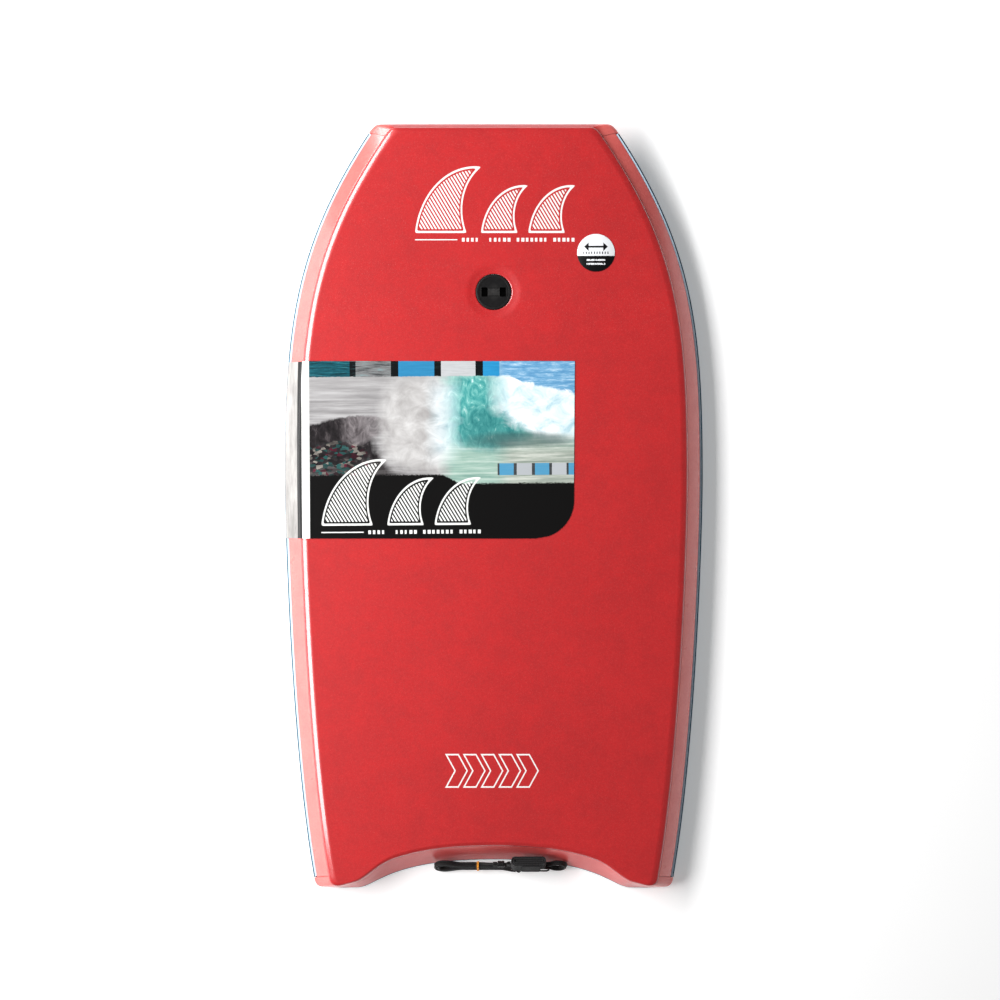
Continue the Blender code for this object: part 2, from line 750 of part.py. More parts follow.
def cuffLine():
    """Centre line of the wound cuff: straight runs joined by growing half turns."""
    pitch = CUFF_STRAP + GAP
    radius = 0.0013
    reach = radius + 1.5 * pitch + CUFF_STRAP / 2
    left = CUFF_LEFT + reach
    right = CUFF_RIGHT - reach
    line = [(left, radius)]
    middle = 0.0
    for turn in range(4):
        atRight = turn % 2 == 0
        centre = right if atRight else left
        for k in range(9):
            angle = pi / 2 - pi * k / 8 if atRight else -pi / 2 - pi * k / 8
            line.append((centre + radius * cos(angle), middle + radius * sin(angle)))
        middle = pitch / 2 if atRight else 0.0
        radius += pitch / 2
    line.append((right - 0.002, line[-1][1]))
    return line


def cuffStrap():
    line = cuffLine()
    sides = ([], [])
    for k, (x, n) in enumerate(line):
        x0, n0 = line[max(k - 1, 0)]
        x1, n1 = line[min(k + 1, len(line) - 1)]
        along = Vector((x1 - x0, n1 - n0)).normalized()
        for side, sign in zip(sides, (1, -1)):
            side.append((x - sign * along.y * CUFF_STRAP / 2, n + sign * along.x * CUFF_STRAP / 2))
    outline = [(x, -SWIVEL_N - n) for x, n in sides[0] + sides[1][::-1]]
    prism("cuff_strap", outline, CUFF_LOW, CUFF_LOW + CUFF_WIDTH, "webbing", ACROSS)


def hookTab():
    """The hook patch on the outer end of the cuff."""
    top = SWIVEL_N + max(n for _, n in cuffLine()) + CUFF_STRAP / 2 + GAP
    block("cuff_hook_tab", (CUFF_LEFT + 0.012, CUFF_LOW + 0.001, top),
          (CUFF_RIGHT - 0.008, CUFF_LOW + CUFF_WIDTH - 0.001, top + 0.0012), "webbing", LEASH)


def stringLine():
    """The plug string, doubled back from the knot."""
    n = 0.0004 + CORD_PITCH + CORD + 0.0003 + GAP + STRING / 2
    start = KNOT_X + KNOT_RADIUS + GAP
    turn = STRING_TIP - STRING_BEND
    points = []
    for k in range(11):
        share = k / 10
        rise = (1 - cos(pi * share)) / 2
        points.append((start + (turn - start) * share, 0.0014 + (STRING_BEND - 0.0014) * rise))
    for k in range(1, 6):
        angle = pi / 2 - pi / 2 * k / 6
        points.append((turn + STRING_BEND * cos(angle), STRING_BEND * sin(angle)))
    points.append((STRING_TIP, 0.0))
    back = [(x, -w) for x, w in points[-2::-1]]
    return [(x, HANK_MID + w, n) for x, w in points + back]


def plugString():
    tube("plug_string", stringLine(), STRING, "cord", LEASH)
    n = 0.0004 + CORD_PITCH + CORD + 0.0003 + GAP + KNOT_RADIUS * 0.80
    turned("string_knot", [(KNOT_RADIUS * r, KNOT_X + KNOT_RADIUS * h) for r, h in (
        (0, -1), (0.45, -0.95), (0.72, -0.5), (0.80, 0), (0.72, 0.5), (0.45, 0.95), (0, 1))],
        "cord", 16, ALONG @ Matrix.Translation((HANK_MID, n, 0)))


def rubberBand():
    half = 1.5 * CORD_PITCH + CORD / 2 + GAP
    low = 0.0004 - GAP
    high = 0.0004 + CORD_PITCH + CORD + 0.0003 + GAP
    thick = 0.0010
    # the tail face leaves little room behind the hank, so the band is thin there
    inner = [(-half, low), (half, low), (half, high), (-half, high)]
    outer = [(-half - thick, low - 0.0007), (half + thick, low - 0.0007),
             (half + thick, high + thick), (-half - thick, high + thick)]
    vertices = []
    for x in (BAND_X - 0.0012, BAND_X + 0.0012):
        vertices += [(x, HANK_MID + w, n) for w, n in outer + inner]
    faces = []
    for k in range(4):
        m = (k + 1) % 4
        faces.append((k, m, 8 + m, 8 + k))
        faces.append((4 + m, 4 + k, 12 + k, 12 + m))
        faces.append((m, k, 4 + k, 4 + m))
        faces.append((8 + k, 8 + m, 12 + m, 12 + k))
    solid("rubber_band", vertices, faces, "rubber", LEASH, smooth=False)


def main():
    clearScene()
    foamCore()
    deckSkin()
    slickBottom()
    rails()
    bumpers()
    leashPlug()
    sizeSticker()
    labelSleeve()
    leashHank()
    leashCord()
    swivel()
    cuffTab()
    cuffStrap()
    hookTab()
    plugString()
    rubberBand()


main()
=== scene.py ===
# Bodyboard with a tied leash: the looks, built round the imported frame.
from math import atan2, cos, pi, sin, sqrt, tan

import bmesh
import bpy
import numpy as np
from mathutils import Matrix, Vector
from mathutils.geometry import delaunay_2d_cdt


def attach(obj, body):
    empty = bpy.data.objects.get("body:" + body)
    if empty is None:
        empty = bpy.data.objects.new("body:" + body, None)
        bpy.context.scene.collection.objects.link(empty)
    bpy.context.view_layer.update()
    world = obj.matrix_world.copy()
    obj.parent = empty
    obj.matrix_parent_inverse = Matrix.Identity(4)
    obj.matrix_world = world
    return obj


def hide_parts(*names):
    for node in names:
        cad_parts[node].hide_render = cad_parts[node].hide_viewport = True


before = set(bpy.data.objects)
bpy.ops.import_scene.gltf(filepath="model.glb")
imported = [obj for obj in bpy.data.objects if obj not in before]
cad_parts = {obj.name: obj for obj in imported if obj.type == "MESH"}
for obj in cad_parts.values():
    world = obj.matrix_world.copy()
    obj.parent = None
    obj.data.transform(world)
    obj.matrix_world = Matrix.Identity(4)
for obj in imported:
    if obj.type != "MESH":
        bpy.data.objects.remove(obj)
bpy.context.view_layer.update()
print("frame loaded:", len(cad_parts), "nodes")


# The board's own measures, in metres, the same as its design.
board = {
    "length": 0.9144,
    "thickness": 0.046,
    "widest": 0.2503,
    "widestY": 0.037,
    "noseHalf": 0.1415,
    "noseFlare": 0.615,
    "tailHalf": 0.2122,
    "tailTaper": 0.191,
    "rockerStart": 0.18,
    "rockerBottom": 0.018,
    "rockerDeck": 0.007,
    "tailDepth": 0.0332,
    "tailArm": 0.165,
    "bevelMiddle": 0.030,
    "bevelArm": 0.012,
    "noseCorner": 0.006,
    "tailCorner": 0.0095,
    "slick": 0.002,
    "deckSkin": 0.003,
    "wall": 0.0047,
    "gap": 0.0003,
    "cutNose": 0.012,
    "cutTail": 0.988,
    "seam": 0.0006,
    "sideSteps": 120,
    "tailSteps": 66,
    "cornerSteps": 9,
}


def unit(value, low, high):
    return min(max((value - low) / (high - low), 0.0), 1.0)


def ease(share):
    return share * share * (3 - 2 * share)


def swell(share):
    return (1 - cos(pi * min(max(share, 0.0), 1.0))) / 2


def bezier(points, t):
    a, b, c, d = points
    s = 1 - t
    return tuple(s**3 * p + 3 * s * s * t * q + 3 * s * t * t * r + t**3 * k
                 for p, q, r, k in zip(a, b, c, d))


def newObject(name, data):
    made = bpy.data.objects.new(name, data)
    bpy.context.collection.objects.link(made)
    return made


def flipped(points):
    return [Vector((-p.x, p.y, p.z)) for p in points]


def arc(x, y, radius, start, turn, steps):
    # places round part of a circle, both ends among them
    angles = [start + turn * k / steps for k in range(steps + 1)]
    return [(x + radius * cos(a), y + radius * sin(a)) for a in angles]


def middleOf(points):
    return sum(points, Vector((0, 0))) / len(points)


def addPiece(name, vertices, faces, body, finish=None, smoothAngle=0.7, matrix=None, uvs=None):
    mesh = bpy.data.meshes.new(name)
    mesh.from_pydata([tuple(v) for v in vertices], [], faces)
    mesh.validate()
    if uvs:
        layer = mesh.uv_layers.new(name="along")
        for polygon in mesh.polygons:
            for corner, place in zip(polygon.loop_indices, uvs[polygon.index]):
                layer.data[corner].uv = place
    if matrix:
        mesh.transform(matrix)
    mesh.shade_smooth()
    mesh.set_sharp_from_angle(angle=smoothAngle)
    piece = newObject(name, mesh)
    if finish:
        mesh.materials.append(finish)
    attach(piece, body)
    return piece


# the board's lines
railFront = (
    (board["noseHalf"], board["length"] / 2),
    (board["noseHalf"] + 0.1745 * sin(board["noseFlare"]),
     board["length"] / 2 - 0.1745 * cos(board["noseFlare"])),
    (board["widest"], board["widestY"] + 0.1756),
    (board["widest"], board["widestY"]),
)
railBack = (
    (board["widest"], board["widestY"]),
    (board["widest"], board["widestY"] - 0.060),
    (board["tailHalf"] + 0.158 * sin(board["tailTaper"]),
     -board["length"] / 2 + 0.158 * cos(board["tailTaper"])),
    (board["tailHalf"], -board["length"] / 2),
)
crescent = (
    (0, -board["length"] / 2 + board["tailDepth"]),
    (0.127, -board["length"] / 2 + board["tailDepth"]),
    (board["tailArm"] - 0.024, -board["length"] / 2),
    (board["tailArm"], -board["length"] / 2),
)


def railPoint(u, inset):
    curve = railFront if u < 1 else railBack
    t = u if u < 1 else u - 1
    x, y = bezier(curve, t)
    x1, y1 = bezier(curve, t + 1e-4)
    x0, y0 = bezier(curve, t - 1e-4)
    along = Vector((x1 - x0, y1 - y0)).normalized()
    return Vector((x + along.y * inset, y - along.x * inset))


def crescentY(x):
    x = abs(x)
    if x >= board["tailArm"]:
        return -board["length"] / 2
    low, high = 0.0, 1.0
    for _ in range(30):
        middle = (low + high) / 2
        if bezier(crescent, middle)[0] < x:
            low = middle
        else:
            high = middle
    return bezier(crescent, low)[1]


def tailBevel(x):
    share = ease(unit(abs(x), 0.120, 0.190))
    return board["bevelMiddle"] + (board["bevelArm"] - board["bevelMiddle"]) * share


def rise(y):
    return max(0, (y - board["rockerStart"]) / (board["length"] / 2 - board["rockerStart"])) ** 2


def bottomAt(y):
    return board["rockerBottom"] * rise(y)


def deckAt(y):
    return board["thickness"] + board["rockerDeck"] * rise(y)


# the tail face is shared by many lines, so its curves are worked out once
tailStations = [board["tailArm"] * (1 - k / board["tailSteps"]) for k in range(board["tailSteps"] + 1)]
tailFeet = {x: (crescentY(x), tailBevel(x)) for x in tailStations}


def bend(start, corner, end):
    made = []
    for k in range(1, board["cornerSteps"] + 1):
        t = k / (board["cornerSteps"] + 1)
        made.append(start * (1 - t) ** 2 + corner * 2 * t * (1 - t) + end * t * t)
    return made


class Line:
    # one level line round the board: how far in it lies at the side, nose and tail, and how high
    def __init__(self, side, nose, tail, extra=0.0, up=None, down=None):
        height = (1.0, 0.0, up) if down is None else (0.0, 1.0, -down)
        self.measures = (side, nose, tail, extra, *height)

    def height(self, y):
        return self.measures[4] * bottomAt(y) + self.measures[5] * deckAt(y) + self.measures[6]

    def tailY(self, x):
        foot, bevel = tailFeet.get(x) or (crescentY(x), tailBevel(x))
        return foot + self.measures[2] * bevel + self.measures[3]

    def crossing(self, low, high, gap):
        first = gap(railPoint(low, self.measures[0])) > 0
        for _ in range(36):
            middle = (low + high) / 2
            if (gap(railPoint(middle, self.measures[0])) > 0) == first:
                low = middle
            else:
                high = middle
        return low

    def half(self):
        side = self.measures[0]
        noseY = board["length"] / 2 - self.measures[1]
        start = self.crossing(-0.1, 0.6, lambda p: p.y - noseY)
        end = self.crossing(1.4, 2.1, lambda p: p.y - self.tailY(p.x))
        corner = railPoint(start, side)
        heel = railPoint(end, side)
        places = [k / board["sideSteps"] for k in range(1, board["sideSteps"])]
        places += [0.010, 0.990, board["cutNose"], board["cutNose"] + board["seam"],
                   board["cutTail"] - board["seam"], board["cutTail"]]
        places = sorted(p for p in places if 0.0099 <= p <= 0.9901)
        rail = [railPoint(start + (end - start) * v, side) for v in places]
        noseEnd = corner.x - board["noseCorner"]
        tailX = heel.x - board["tailCorner"]
        path = [Vector((noseEnd * k / 12, noseY)) for k in range(13)]
        path += bend(path[-1], corner, rail[0])
        path += rail
        tailEnd = Vector((tailX, self.tailY(tailX)))
        path += bend(rail[-1], heel, tailEnd) + [tailEnd]
        path += [Vector((x, self.tailY(x))) for x in tailStations]
        return [Vector((p.x, p.y, self.height(p.y))) for p in path]

    def loop(self):
        right = self.half()
        return right + flipped(right[-2:0:-1])


def toward(a, b, share):
    made = Line(0, 0, 0, up=0)
    made.measures = tuple(p + (q - p) * share for p, q in zip(a.measures, b.measures))
    return made


def rounded(a, corner, b, steps):
    return [toward(toward(a, corner, k / steps), toward(corner, b, k / steps), k / steps)
            for k in range(steps + 1)]


cornerStart = 13                                   # first place after the flat of the nose
railStart = cornerStart + board["cornerSteps"]
sideCount = len([1 for k in range(1, board["sideSteps"])
                 if 0.0099 <= k / board["sideSteps"] <= 0.9901]) + 6
noseCut = railStart + 1
tailCut = railStart + sideCount - 2


def ringFaces(rings, size, closed=False, capped=True):
    # four-sided faces from each ring of places to the next, and a face over each end
    faces = []
    for k in range(rings if closed else rings - 1):
        a, b = k * size, (k + 1) % rings * size
        faces += [(a + m, a + (m + 1) % size, b + (m + 1) % size, b + m) for m in range(size)]
    if capped and not closed:
        faces.append(tuple(reversed(range(size))))
        faces.append(tuple((rings - 1) * size + m for m in range(size)))
    return faces


# sweeping the layers
def sweep(name, section, finish, mirror=False, span=None):
    # span is nose or tail for a bumper, and a rail runs between the two
    halves = [line.half() for line in section]
    if span == "nose":
        lines = [flipped(half[noseCut:0:-1]) + half[:noseCut + 1] for half in halves]
    elif span == "tail":
        lines = [half[tailCut:] + flipped(half[:tailCut - 1:-1][1:]) for half in halves]
    else:
        lines = [half[noseCut + 1:tailCut] for half in halves]
        if mirror:
            lines = [flipped(line) for line in lines]
    count = len(section)
    stations = len(lines[0])
    vertices = [line[k] for k in range(stations) for line in lines]
    faces = ringFaces(stations, count)
    if mirror:
        faces = [tuple(reversed(face)) for face in faces]
    piece = addPiece(name, vertices, faces, "board", finish)
    faceOutward(piece)
    return piece


def faceOutward(piece):
    shape = bmesh.new()
    shape.from_mesh(piece.data)
    bmesh.ops.recalc_face_normals(shape, faces=shape.faces)
    if shape.calc_volume(signed=True) < 0:
        bmesh.ops.reverse_faces(shape, faces=shape.faces)
    shape.to_mesh(piece.data)
    shape.free()


def insideOutline(places, outline, margin=0.0):
    # which of many places lie inside a closed outline, and further from it than margin
    a = np.array([tuple(p) for p in outline])
    b = np.roll(a, -1, axis=0)
    kept = np.zeros(len(places), bool)
    for k, (x, y) in enumerate(places):
        crossed = (a[:, 1] > y) != (b[:, 1] > y)
        at = (b[crossed, 0] - a[crossed, 0]) * (y - a[crossed, 1]) / (b[crossed, 1] - a[crossed, 1])
        inside = np.count_nonzero(x < at + a[crossed, 0]) % 2 == 1
        kept[k] = inside and (not margin or ((a - (x, y)) ** 2).sum(1).min() > margin * margin)
    return kept


def fillPlane(loop, holes, spacing, height):
    # triangles between a closed outline and round holes, with an even grid inside
    outline = [Vector((p.x, p.y)) for p in loop]
    points = list(outline)
    edges = [(k, (k + 1) % len(outline)) for k in range(len(outline))]
    for hole in holes:
        start = len(points)
        points += [Vector((p.x, p.y)) for p in hole["points"]]
        size = len(hole["points"])
        edges += [(start + k, start + (k + 1) % size) for k in range(size)]
    fixed = len(points)
    low = Vector((min(p.x for p in outline), min(p.y for p in outline)))
    high = Vector((max(p.x for p in outline), max(p.y for p in outline)))
    wide = int((high.x - low.x) / spacing)
    long = int((high.y - low.y) / spacing)
    grid = [Vector((low.x + (high.x - low.x) * i / wide, low.y + (high.y - low.y) * j / long))
            for i in range(1, wide) for j in range(1, long)]
    clear = insideOutline(grid, outline, spacing * 0.45)
    for place, free in zip(grid, clear):
        if free and all((place - hole["middle"]).length > hole["radius"] + spacing * 0.45 for hole in holes):
            points.append(place)
    found = delaunay_2d_cdt(points, edges, [], 0, 1e-7)
    if len(found[0]) != len(points):
        raise RuntimeError("the outline crosses itself")
    middles = [middleOf([found[0][k] for k in face]) for face in found[2]]
    kept = insideOutline(middles, outline)
    for hole in holes:
        kept &= ~insideOutline(middles, [(p.x, p.y) for p in hole["points"]])
    triangles = [[found[3][k][0] for k in face] for face, free in zip(found[2], kept) if free]
    places = [Vector((p.x, p.y, height(p.y))) for p in points]
    return places, triangles, fixed


def ringPoints(middle, radius, count, height):
    # a round ring; height gives z from y
    places = arc(*middle, radius, 0, 2 * pi, count)[:-1]
    return [Vector((x, y, height(y))) for x, y in places]


class Shell:

    def __init__(self):
        self.vertices = []
        self.faces = []

    def ring(self, points):
        start = len(self.vertices)
        self.vertices += points
        return list(range(start, start + len(points)))

    def join(self, low, high):
        size = len(low)
        for k in range(size):
            m = (k + 1) % size
            self.faces.append((low[k], low[m], high[m], high[k]))

    def fill(self, outer, holeRings, spacing, height, flip):
        holes = []
        for ring in holeRings:
            points = [self.vertices[k] for k in ring]
            middle = middleOf([Vector((p.x, p.y)) for p in points])
            holes.append({"points": points, "middle": middle,
                          "radius": (Vector((points[0].x, points[0].y)) - middle).length})
        loop = [self.vertices[k] for k in outer]
        places, triangles, fixed = fillPlane(loop, holes, spacing, height)
        known = list(outer)
        for ring in holeRings:
            known += list(ring)
        start = len(self.vertices)
        self.vertices += places[fixed:]
        for triangle in triangles:
            corners = [known[k] if k < fixed else start + k - fixed for k in triangle]
            a, b, c = (self.vertices[k] for k in corners)
            up = (b.x - a.x) * (c.y - a.y) - (b.y - a.y) * (c.x - a.x) > 0
            if up == flip:
                corners.reverse()
            self.faces.append(tuple(corners))


# shader helpers
def group(name, inputs, outputs):
    tree = bpy.data.node_groups.new(name, "ShaderNodeTree")
    for label, kind, value in inputs:
        socket = tree.interface.new_socket(name=label, in_out="INPUT", socket_type=kind)
        if value is not None:
            socket.default_value = value
    for label, kind in outputs:
        tree.interface.new_socket(name=label, in_out="OUTPUT", socket_type=kind)
    source = tree.nodes.new("NodeGroupInput")
    result = tree.nodes.new("NodeGroupOutput")
    return tree, source.outputs, result.inputs


class Wires:

    def __init__(self, tree):
        self.tree = tree

    def add(self, kind, settings=None, **sockets):
        made = self.tree.nodes.new(kind)
        for key, value in (settings or {}).items():
            setattr(made, key, value)
        for key, value in sockets.items():
            self.feed(made.inputs[key.replace("_", " ")], value)
        return made

    def feed(self, socket, value):
        if isinstance(value, bpy.types.NodeSocket):
            self.tree.links.new(value, socket)
        elif value is not None:
            socket.default_value = value

    def maths(self, operation, a, b=None, c=None, clamp=False):
        made = self.tree.nodes.new("ShaderNodeMath")
        made.operation = operation
        made.use_clamp = clamp
        for socket, value in zip(made.inputs, (a, b, c)):
            self.feed(socket, value)
        return made.outputs[0]

    def mix(self, factor, a, b, blend="MIX"):
        made = self.tree.nodes.new("ShaderNodeMix")
        made.data_type = "RGBA"
        made.blend_type = blend
        made.clamp_factor = True
        self.feed(made.inputs["Factor"], factor)
        self.feed(made.inputs[6], a)
        self.feed(made.inputs[7], b)
        return made.outputs[2]

    def scaled(self, a, b, c, clamp=False):
        return self.maths("MULTIPLY_ADD", a, b, c, clamp)

    def times(self, a, b):
        return self.maths("MULTIPLY", a, b)

    def plus(self, a, b):
        return self.maths("ADD", a, b)

    def minus(self, a, b, clamp=False):
        return self.maths("SUBTRACT", a, b, clamp=clamp)

    def over(self, a, b, clamp=False):
        return self.maths("DIVIDE", a, b, clamp=clamp)

    def most(self, a, b):
        return self.maths("MAXIMUM", a, b)

    def size(self, a):
        return self.maths("ABSOLUTE", a)

    def step(self, value, edge, soft):
        # 0 below the edge and 1 above it, over a soft strip
        return self.scaled(self.minus(value, edge), 1 / soft, 0.5, True)

    def between(self, value, low, high, soft):
        return self.times(self.step(value, low, soft), self.step(high, value, soft))

    def noise(self, vector, scale, detail=3.0, roughness=0.5, distortion=0.0):
        made = self.add("ShaderNodeTexNoise", Scale=scale, Detail=detail, Roughness=roughness,
                        Distortion=distortion, Vector=vector)
        return made.outputs["Fac"]

    def ramp(self, factor, stops):
        made = self.tree.nodes.new("ShaderNodeValToRGB")
        self.feed(made.inputs[0], factor)
        bar = made.color_ramp
        while len(bar.elements) < len(stops):
            bar.elements.new(0.5)
        for element, (place, colour) in zip(bar.elements, stops):
            element.position = place
            element.color = (*colour, 1)
        return made.outputs[0]

    def bump(self, height, strength, distance, normal=None):
        made = self.add("ShaderNodeBump", Height=height, Strength=strength, Distance=distance)
        if normal is not None:
            self.feed(made.inputs["Normal"], normal)
        return made.outputs[0]


def rgb(red, green, blue):
    made = []
    for value in (red, green, blue):
        value /= 255
        made.append(value / 12.92 if value <= 0.04045 else ((value + 0.055) / 1.055) ** 2.4)
    return tuple(made)


def dye(*numbers):
    return (*rgb(*numbers), 1)


def newMaterial(name):
    made = bpy.data.materials.new(name)
    made.use_nodes = True
    made.node_tree.nodes.clear()
    wires = Wires(made.node_tree)
    shader = wires.add("ShaderNodeBsdfPrincipled")
    output = wires.add("ShaderNodeOutputMaterial")
    made.node_tree.links.new(shader.outputs[0], output.inputs[0])
    where = wires.add("ShaderNodeTexCoord").outputs["Object"]
    return made, wires, shader, where


# The camera, the floor and the lights
studio = {
    "camera": (0.0075, 0.0106, 2.5),
    "halfFrame": 0.603,             # half of what the camera sees on the floor, each way
    "floor": 20.0,
    "floorDrop": -0.0004,           # just under the slick, so the two don't share a plane
    "paperGlow": 0.24,
    "room": 0.16,
    "key": 15.9,
    "leftGlow": 4.0,
    "rightPanel": 0.8,
}


def areaLight(name, place, aim, size, radiance):
    lamp = bpy.data.lights.new(name, "AREA")
    lamp.shape = "RECTANGLE"
    lamp.size, lamp.size_y = size
    lamp.energy = radiance * pi * size[0] * size[1]
    item = newObject(name, lamp)
    item.location = place
    item.rotation_mode = "QUATERNION"
    item.rotation_quaternion = (Vector(aim) - Vector(place)).to_track_quat("-Z", "Y")


def setStudio():
    lens = bpy.data.cameras.new("camera")
    lens.sensor_width = 36
    lens.lens = 18 * studio["camera"][2] / studio["halfFrame"]
    camera = newObject("camera", lens)
    camera.location = studio["camera"]
    bpy.context.scene.camera = camera

    half = studio["floor"] / 2
    mesh = bpy.data.meshes.new("floor")
    mesh.from_pydata([(-half, -half, 0), (half, -half, 0), (half, half, 0), (-half, half, 0)],
                     [], [(0, 1, 2, 3)])
    floor = newObject("floor", mesh)
    floor.location.z = studio["floorDrop"]
    paper, wires, shader, where = newMaterial("paperSweep")
    tone = wires.noise(where, 3.0, 2.0)
    greys = ((0, (0.90, 0.90, 0.90)), (1, (0.94, 0.94, 0.94)))
    wires.feed(shader.inputs["Base Color"], wires.ramp(tone, greys))
    shader.inputs["Roughness"].default_value = 0.9
    shader.inputs["Specular IOR Level"].default_value = 0.1
    shader.inputs["Emission Color"].default_value = (1, 1, 1, 1)
    shader.inputs["Emission Strength"].default_value = studio["paperGlow"]
    mesh.materials.append(paper)

    world = bpy.data.worlds.new("room")
    world.use_nodes = True
    world.node_tree.nodes["Background"].inputs[0].default_value = (1, 1, 1, 1)
    world.node_tree.nodes["Background"].inputs[1].default_value = studio["room"]
    bpy.context.scene.world = world
    areaLight("key", (-1.12, 0.55, 1.22), (0, 0.55, 0), (2.6, 0.5), studio["key"])
    areaLight("leftGlow", (-2.0, 0.0, 0.35), (0, 0, 0.05), (2.4, 0.6), studio["leftGlow"])
    areaLight("rightPanel", (2.2, 0.0, 0.55), (0, 0, 0.05), (2.4, 0.9), studio["rightPanel"])
    print("studio set")


# Tubes, turned parts and other shapes that several pieces are made from
def runsOf(points):
    # how far along a line each of its places is
    runs = [0.0]
    for a, b in zip(points, points[1:]):
        runs.append(runs[-1] + (b - a).length)
    return runs


def spaced(points, spacing):
    lengths = runsOf(points)
    count = max(2, int(round(lengths[-1] / spacing)))
    made = []
    k = 0
    for step in range(count + 1):
        reach = lengths[-1] * step / count
        while k < len(points) - 2 and lengths[k + 1] < reach:
            k += 1
        share = (reach - lengths[k]) / max(lengths[k + 1] - lengths[k], 1e-9)
        made.append(points[k].lerp(points[k + 1], min(max(share, 0.0), 1.0)))
    return made


def smoothed(points, rounds):
    for _ in range(rounds):
        points = [points[0]] + [(a + b * 2 + c) / 4 for a, b, c in zip(points, points[1:], points[2:])] \
            + [points[-1]]
    return points


def pathLength(points):
    return sum((b - a).length for a, b in zip(points, points[1:]))


def frames(points, closed=False):
    count = len(points)
    tangents = []
    for k in range(count):
        before = points[k - 1] if k or closed else points[0]
        after = points[(k + 1) % count] if k < count - 1 or closed else points[-1]
        tangents.append((after - before).normalized())
    side = tangents[0].orthogonal().normalized()
    made = []
    for tangent in tangents:
        side = (side - tangent * side.dot(tangent)).normalized()
        made.append((side, tangent.cross(side)))
    return made


def ringPlaces(run, size, width):
    # where each face between rings lies: how far along, and how far across
    return [((a, m * width), (a, (m + 1) * width), (b, (m + 1) * width), (b, m * width))
            for a, b in zip(run, run[1:]) for m in range(size)]


def tube(name, points, radius, finish, body, matrix=None, sides=16, closed=False):
    count = len(points)
    vertices = []
    run = runsOf(points)
    if closed:
        run.append(run[-1] + (points[0] - points[-1]).length)
    for point, (side, up) in zip(points, frames(points, closed)):
        for m in range(sides):
            angle = 2 * pi * m / sides
            vertices.append(point + (side * cos(angle) + up * sin(angle)) * radius)
    faces = ringFaces(count, sides, closed)
    uvs = ringPlaces(run, sides, 1 / sides)
    if not closed:
        uvs += [[(0.0, 0.0)] * sides, [(run[-1], 0.0)] * sides]
    return addPiece(name, vertices, faces, body, finish, matrix=matrix, uvs=uvs)


def turned(name, profile, finish, body, sides, matrix):
    vertices, rings, faces = [], [], []
    for radius, height in profile:
        if radius == 0:
            rings.append([len(vertices)])
            vertices.append((0, 0, height))
            continue
        rings.append(list(range(len(vertices), len(vertices) + sides)))
        vertices += [(radius * cos(2 * pi * k / sides), radius * sin(2 * pi * k / sides), height)
                     for k in range(sides)]
    for low, high in zip(rings, rings[1:]):
        for k in range(sides):
            face = []
            for corner in (low[k % len(low)], low[(k + 1) % len(low)],
                           high[(k + 1) % len(high)], high[k % len(high)]):
                if corner not in face:
                    face.append(corner)
            faces.append(tuple(face))
    if len(rings[0]) > 1:
        faces.append(tuple(reversed(rings[0])))
    if len(rings[-1]) > 1:
        faces.append(tuple(rings[-1]))
    return addPiece(name, vertices, faces, body, finish, 0.6, matrix)


def slabOutline(name, rings, finish, body, matrix=None):
    vertices = [p for ring in rings for p in ring]
    piece = addPiece(name, vertices, ringFaces(len(rings), len(rings[0])), body, finish, 0.6, matrix)
    faceOutward(piece)
    return piece


def roundedBox(half, corner, steps=6):
    made = []
    for turn, (sx, sy) in enumerate(((1, 1), (-1, 1), (-1, -1), (1, -1))):
        for k in range(steps + 1):
            angle = pi / 2 * (turn + k / steps)
            made.append((sx * (half[0] - corner) + corner * cos(angle),
                         sy * (half[1] - corner) + corner * sin(angle)))
    return made


def joined(name, parts):
    shape = bmesh.new()
    for part in parts:
        shape.from_mesh(part.data)
    mesh = parts[0].data
    shape.to_mesh(mesh)
    shape.free()
    mesh.shade_smooth()
    mesh.set_sharp_from_angle(angle=0.6)
    for part in parts[1:]:
        bpy.data.objects.remove(part, do_unlink=True)
    parts[0].name = name
    return parts[0]


# The leash: x runs along the bundle, w up the tail face, n out of it
leash = {
    "lean": atan2(0.040, 0.78 * board["bevelMiddle"]),
    "foot": -0.4318,
    "cord": 0.003,
    "pitch": 0.0033,
    "middle": 0.0128,
    "loop": 0.0075,
    "left": -0.0595,
    "right": 0.0765,
    "waistLeft": -0.038,
    "waistRight": 0.0625,
    "layers": (0.00205, 0.00535),
    "band": -0.019,
    "leave": 0.008,                 # where the last turn leaves the bundle for the knot
    "length": 1.18,
    "string": 0.002,
    "stringLength": 0.070,
}
leashPlace = Matrix(((1, 0, 0, 0),
                     (0, cos(leash["lean"]), -sin(leash["lean"]), leash["foot"]),
                     (0, sin(leash["lean"]), cos(leash["lean"]), 0),
                     (0, 0, 0, 1)))
alongPlace = leashPlace @ Matrix(((0, 0, 1, 0), (1, 0, 0, 0), (0, 1, 0, 0), (0, 0, 0, 1)))
swivel = {
    "w": 0.026, "n": 0.0060,
    "ferrule": -0.001,
    "barrel": 0.0045, "barrelLength": 0.0085, "barrelRadius": 0.0038,
    "bail": 0.0175, "wire": 0.0008,
}
knot = {"x": 0.030, "radius": 0.0032, "tip": 0.066, "bend": 0.0042, "strand": 0.0010,
        "wide": 0.00072, "tall": 0.00052, "deep": 0.0009, "places": 120}


def lane(x, offset):
    grown = leash["loop"] + abs(offset) - leash["pitch"] / 2
    share = max(unit(x, leash["waistRight"], leash["right"]),
                unit(x, leash["waistLeft"], leash["left"]))
    reach = abs(offset) + (grown - abs(offset)) * swell(share)
    return reach if offset > 0 else -reach


